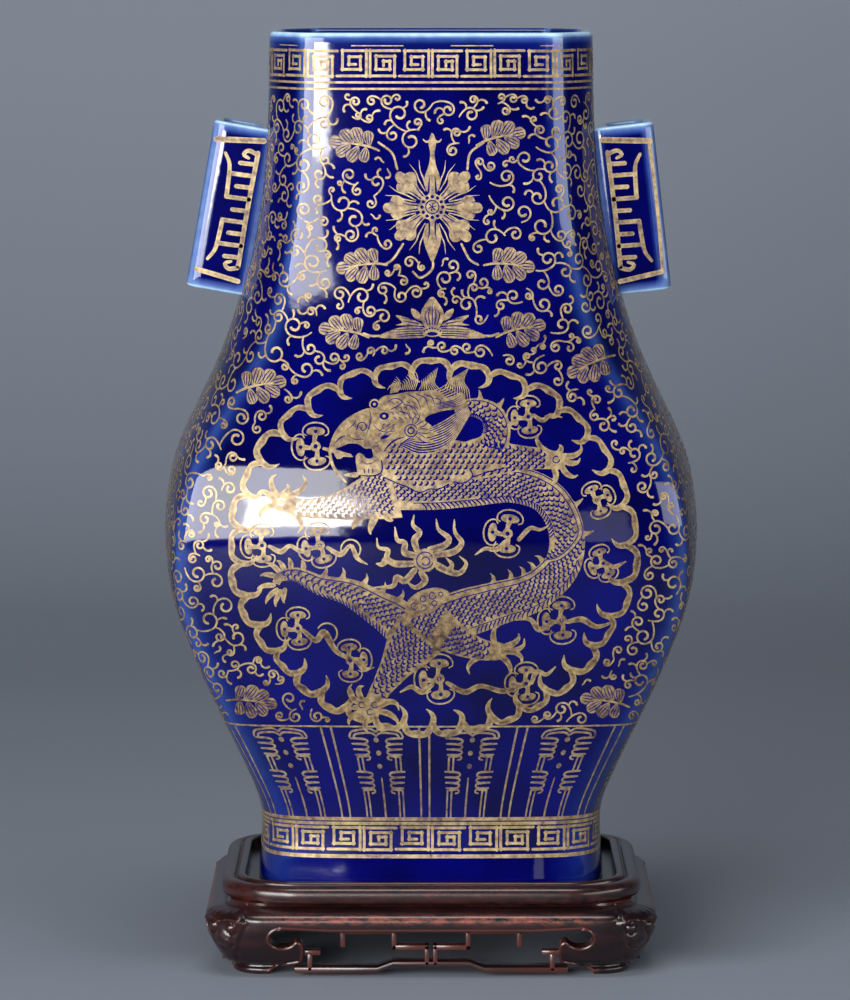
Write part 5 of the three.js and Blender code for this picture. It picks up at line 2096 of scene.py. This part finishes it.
class Nodes:
    """A material and its node tree, with short ways to add and link nodes."""

    def __init__(self, name):
        self.material = bpy.data.materials.new(name)
        self.material.use_nodes = True
        self.tree = self.material.node_tree
        self.shader = self.tree.nodes["Principled BSDF"]

    def add(self, kind, **inputs):
        node = self.tree.nodes.new(kind)
        for key, value in inputs.items():
            if hasattr(node, key):
                setattr(node, key, value)
            else:
                node.inputs[key.replace("_", " ").title()].default_value = value
        return node

    def link(self, out, into):
        self.tree.links.new(out, into)

    def feed(self, value, socket):
        """Sets a socket to a number or a colour, or links a node's output to it."""
        if isinstance(value, tuple):
            socket.default_value = (*value, 1)
        elif isinstance(value, (int, float)):
            socket.default_value = value
        else:
            self.link(value, socket)

    def attribute(self, name):
        node = self.add("ShaderNodeAttribute")
        node.attribute_name = name
        return node.outputs["Fac"]

    def noise(self, scale, detail=3.0, stretch=(1, 1, 1), roughness=0.5):
        """Noise in the object's own space, its scale in waves a millimetre."""
        place = self.add("ShaderNodeTexCoord").outputs["Object"]
        mapping = self.add("ShaderNodeMapping")
        mapping.inputs["Scale"].default_value = [s / MM for s in stretch]
        self.link(place, mapping.inputs["Vector"])
        node = self.add("ShaderNodeTexNoise", scale=scale, detail=detail, roughness=roughness)
        self.link(mapping.outputs["Vector"], node.inputs["Vector"])
        return node.outputs["Fac"]

    def ramp(self, value, stops):
        node = self.add("ShaderNodeValToRGB")
        band = node.color_ramp
        while len(band.elements) < len(stops):
            band.elements.new(0.5)
        for element, (at, colour) in zip(band.elements, stops):
            element.position = at
            if np.isscalar(colour):
                colour = (colour, colour, colour)
            element.color = (*colour, 1)
        self.link(value, node.inputs["Fac"])
        return node.outputs["Color"]

    def maths(self, operation, a, b):
        node = self.add("ShaderNodeMath")
        node.operation = operation
        self.feed(a, node.inputs[0])
        self.feed(b, node.inputs[1])
        return node.outputs["Value"]

    def blend(self, share, a, b):
        """A colour between two others, by a share."""
        node = self.add("ShaderNodeMix")
        node.data_type = "RGBA"
        for value, index in ((share, 0), (a, 6), (b, 7)):
            self.feed(value, node.inputs[index])
        return node.outputs[2]

    def bump(self, height, strength, distance):
        node = self.add("ShaderNodeBump")
        node.inputs["Strength"].default_value = strength
        node.inputs["Distance"].default_value = distance * MM
        self.link(height, node.inputs["Height"])
        self.link(node.outputs["Normal"], self.shader.inputs["Normal"])


def linear(red, green, blue):
    """A colour of the screen, 0 to 255, as linear light."""
    return tuple(((c / 255 + 0.055) / 1.055) ** 2.4 if c > 10 else c / 3295 for c in (red, green, blue))


def cobalt_glaze():
    """A deep blue glaze, a little uneven, that runs thin and pale on edges."""
    m = Nodes("cobalt_glaze")
    clouds = m.noise(0.035, 4)
    body = m.blend(m.ramp(clouds, [(0.3, 0.0), (0.7, 1.0)]), linear(1, 1, 42), linear(2, 3, 80))
    uneven = m.maths("MULTIPLY", m.noise(0.25, 3), 0.5)
    reach = m.maths("MULTIPLY", m.attribute("thin"), m.maths("ADD", uneven, 0.75))
    pale = m.ramp(reach, [(0.0, 0.0), (0.3, 0.1), (0.62, 0.5), (0.95, 1.0)])
    mid = m.blend(pale, linear(12, 44, 122), linear(170, 204, 228))
    share = m.ramp(reach, [(0.02, 0.0), (0.3, 1.0)])
    m.link(m.blend(share, body, mid), m.shader.inputs["Base Color"])
    m.shader.inputs["Roughness"].default_value = 0.05
    m.shader.inputs["IOR"].default_value = 1.41
    m.bump(m.noise(0.12, 2), 0.12, 0.25)
    return m.material


def worn_gilding():
    """Pale gold, brown where wear has thinned it; the lines left bare show the glaze."""
    m = Nodes("worn_gilding")
    wear = m.noise(0.45, 4, roughness=0.65)
    broad = m.noise(0.045, 2)
    tone = m.maths("ADD", m.maths("MULTIPLY", wear, 0.75), m.maths("MULTIPLY", broad, 0.35))
    tone = m.maths("ADD", tone, m.maths("MULTIPLY", m.attribute("inner"), -0.13))
    colour = m.ramp(tone, [
        (0.3, linear(44, 30, 38)), (0.4, linear(88, 69, 52)),
        (0.52, linear(126, 106, 74)), (0.7, linear(164, 144, 104)),
    ])
    bare = m.attribute("bare")
    m.link(m.blend(bare, colour, linear(5, 7, 78)), m.shader.inputs["Base Color"])
    gilt = m.maths("SUBTRACT", 1, bare)
    m.link(m.maths("MULTIPLY", gilt, 0.3), m.shader.inputs["Metallic"])
    m.link(m.maths("ADD", m.maths("MULTIPLY", gilt, 0.34), 0.08), m.shader.inputs["Roughness"])
    m.bump(wear, 0.3, 0.1)
    return m.material


def polished_hardwood():
    """Dark red-brown polished wood with fine grain. Its edges are painted lighter, partly for wear and partly
    as a painted highlight; its apron's band is lighter for wear and a painted highlight, and its ring a
    little lighter as painted light.
    """
    m = Nodes("polished_hardwood")
    grain = m.noise(0.35, 5, (0.16, 0.5, 1), 0.6)
    figure = m.noise(0.05, 3, (0.4, 0.6, 1))
    tone = m.maths("ADD", m.maths("MULTIPLY", grain, 0.6), m.maths("MULTIPLY", figure, 0.5))
    colour = m.ramp(tone, [
        (0.35, linear(9, 4, 6)), (0.55, linear(20, 8, 10)), (0.75, linear(42, 16, 15)),
    ])
    # Edges painted lighter by Pointiness: partly wear, partly a painted edge highlight.
    edge_wear_and_highlight = m.ramp(m.add("ShaderNodeNewGeometry").outputs["Pointiness"], [(0.53, 0.0), (0.64, 0.6)])
    speckled = m.ramp(m.noise(0.5, 4, (0.4, 1, 1), 0.7), [(0.4, 0.0), (0.62, 1.0)])
    # Lighter band and ring: wear with a painted highlight on the band, painted light on the ring.
    wear_and_painted_light = m.maths("MULTIPLY", m.attribute("wear_and_painted_light"), speckled)
    m.link(
        m.blend(m.maths("MAXIMUM", edge_wear_and_highlight, wear_and_painted_light), colour, linear(118, 58, 46)),
        m.shader.inputs["Base Color"],
    )
    m.shader.inputs["Roughness"].default_value = 0.26
    m.shader.inputs["IOR"].default_value = 1.5
    m.bump(grain, 0.2, 0.1)
    return m.material


def pale_floor():
    m = Nodes("pale_floor")
    # Painted shade: the floor is painted darker towards the camera, which also dims it where the glaze
    # reflects it.
    colour = m.blend(m.attribute("near"), linear(114, 121, 132), linear(24, 27, 36))
    m.link(colour, m.shader.inputs["Base Color"])
    m.shader.inputs["Roughness"].default_value = 0.7
    return m.material


# Camera, floor and lights

CAMERA_DISTANCE = 1893
CAMERA_HEIGHT = 368
CAMERA_X = -2.1
LOOK_HEIGHT = 159
LENS = 129.7
FRAME_HEIGHT = 24


def aimed(name, data, place, target):
    """A camera or a light at a place, turned to a target."""
    made = object_of(name, data)
    made.location = Vector(place) * MM
    made.rotation_euler = (Vector(target) - Vector(place)).to_track_quat("-Z", "Y").to_euler()
    return made


def stand_camera():
    data = bpy.data.cameras.new("camera")
    data.sensor_fit = "VERTICAL"
    data.sensor_height = FRAME_HEIGHT
    data.lens = LENS
    place = (CAMERA_X, -CAMERA_DISTANCE, CAMERA_HEIGHT)
    bpy.context.scene.camera = aimed("camera", data, place, (CAMERA_X, 0, LOOK_HEIGHT))


def studio_floor():
    """A level floor that curves up into a backdrop behind the vase, painted darker towards the camera as
    painted shade.
    """
    width = 3000
    line = [(y, 0) for y in (-2600, -1700, -1400, -1100, -800, -500, -200, 900)]
    for degrees in range(10, 91, 10):
        a = math.radians(degrees)
        line.append((900 + 700 * math.sin(a), 700 - 700 * math.cos(a)))
    line.append((1600, 3200))
    points = [(x, y, z) for x in (-width, width) for y, z in line]
    n = len(line)
    faces = [(i, n + i, n + i + 1, i + 1) for i in range(n - 1)]
    mesh = bpy.data.meshes.new("floor")
    mesh.from_pydata((np.array(points) * MM).tolist(), [], faces)
    mesh.shade_smooth()
    mesh.materials.append(pale_floor())
    floor = bpy.data.objects.new("floor", mesh)
    bpy.context.scene.collection.objects.link(floor)
    # Painted shade: the floor's share of dark colour, growing towards the camera.
    near = np.array([y for x, y, z in points])
    float_attribute(floor, "near", np.interp(near, (-1700, -200), (1, 0)))


def softbox(name, turn, distance, width, low, high, brightness):
    """An upright panel of light: turn in degrees from the camera's side of the vase, to the right."""
    a = math.radians(turn)
    middle = (low + high) / 2
    place = (distance * math.sin(a), -distance * math.cos(a), middle)
    light_panel(name, place, (0, 0, middle), (width, high - low), brightness)


def light_panel(name, place, target, size, brightness):
    """A rectangle of light; its brightness is what a mirror would show, 1 being white."""
    data = bpy.data.lights.new(name, "AREA")
    data.shape = "RECTANGLE"
    data.size, data.size_y = (s * MM for s in size)
    data.energy = brightness * math.pi * data.size * data.size_y
    aimed(name, data, place, target)


def studio_lights():
    """A broad softbox with a bright middle at the left, weaker ones at the right, and two above."""
    softbox("left_softbox", -32.5, 1850, 1700, 90, 940, 15)
    softbox("left_core", -11.5, 1840, 330, 200, 420, 34)
    softbox("right_softbox", 62, 1500, 1900, 270, 640, 5.5)
    softbox("right_reflector", 15.5, 2000, 170, 20, 330, 1.5)
    light_panel("top_softbox", (0, -480, 1500), (0, -60, 0), (800, 380), 9.5)
    light_panel("backdrop_light", (-60, 700, 900), (-160, 1600, 900), (1400, 400), 2.3)
    world = bpy.data.worlds.new("studio")
    world.use_nodes = True
    sky = world.node_tree.nodes["Background"].inputs
    sky["Color"].default_value = (*linear(150, 158, 172), 1)
    sky["Strength"].default_value = 0.08
    bpy.context.scene.world = world
    bpy.context.scene.view_settings.view_transform = "Standard"


# The whole

glaze = cobalt_glaze()
gold = worn_gilding()
wood = polished_hardwood()

for piece in (vase_body(glaze), tube_handle(-1, glaze), tube_handle(1, glaze)):
    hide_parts("vase")

banding = Gilding("gilt_bands", banded(RIM_FRET[0]))
bands(banding)
banding.lay = whole_skin
seam_lines(banding)
banding.made(gold)

for face, side_name, seed in ((FRONT, "front", 3), (BACK, "back", 5)):
    ground = Ground(face)
    blossoms = Gilding(f"gilt_flowers_{side_name}", seen(face))
    blossoms.grounds = (ground,)
    flowers(blossoms)
    blossoms.made(gold)
    medallion = Gilding(f"gilt_medallion_{side_name}", sagging(face))
    medallion.grounds = (ground,)
    medallion_border(medallion)
    if face == FRONT:
        dragon(medallion)
    else:
        plain_medallion(medallion)
    medallion.made(gold)
    ground.close_medallion()
    stems = Gilding(f"gilt_scrolls_{side_name}", wrapped(face))
    stems.grounds = (ground,)
    Scrollwork(stems, ground, random.Random(seed)).fill(leaf_tips())
    stems.made(gold)
for side in (-1, 1):
    gilded_handle(side, gold)

carved_stand(wood)

stand_camera()
studio_floor()
studio_lights()
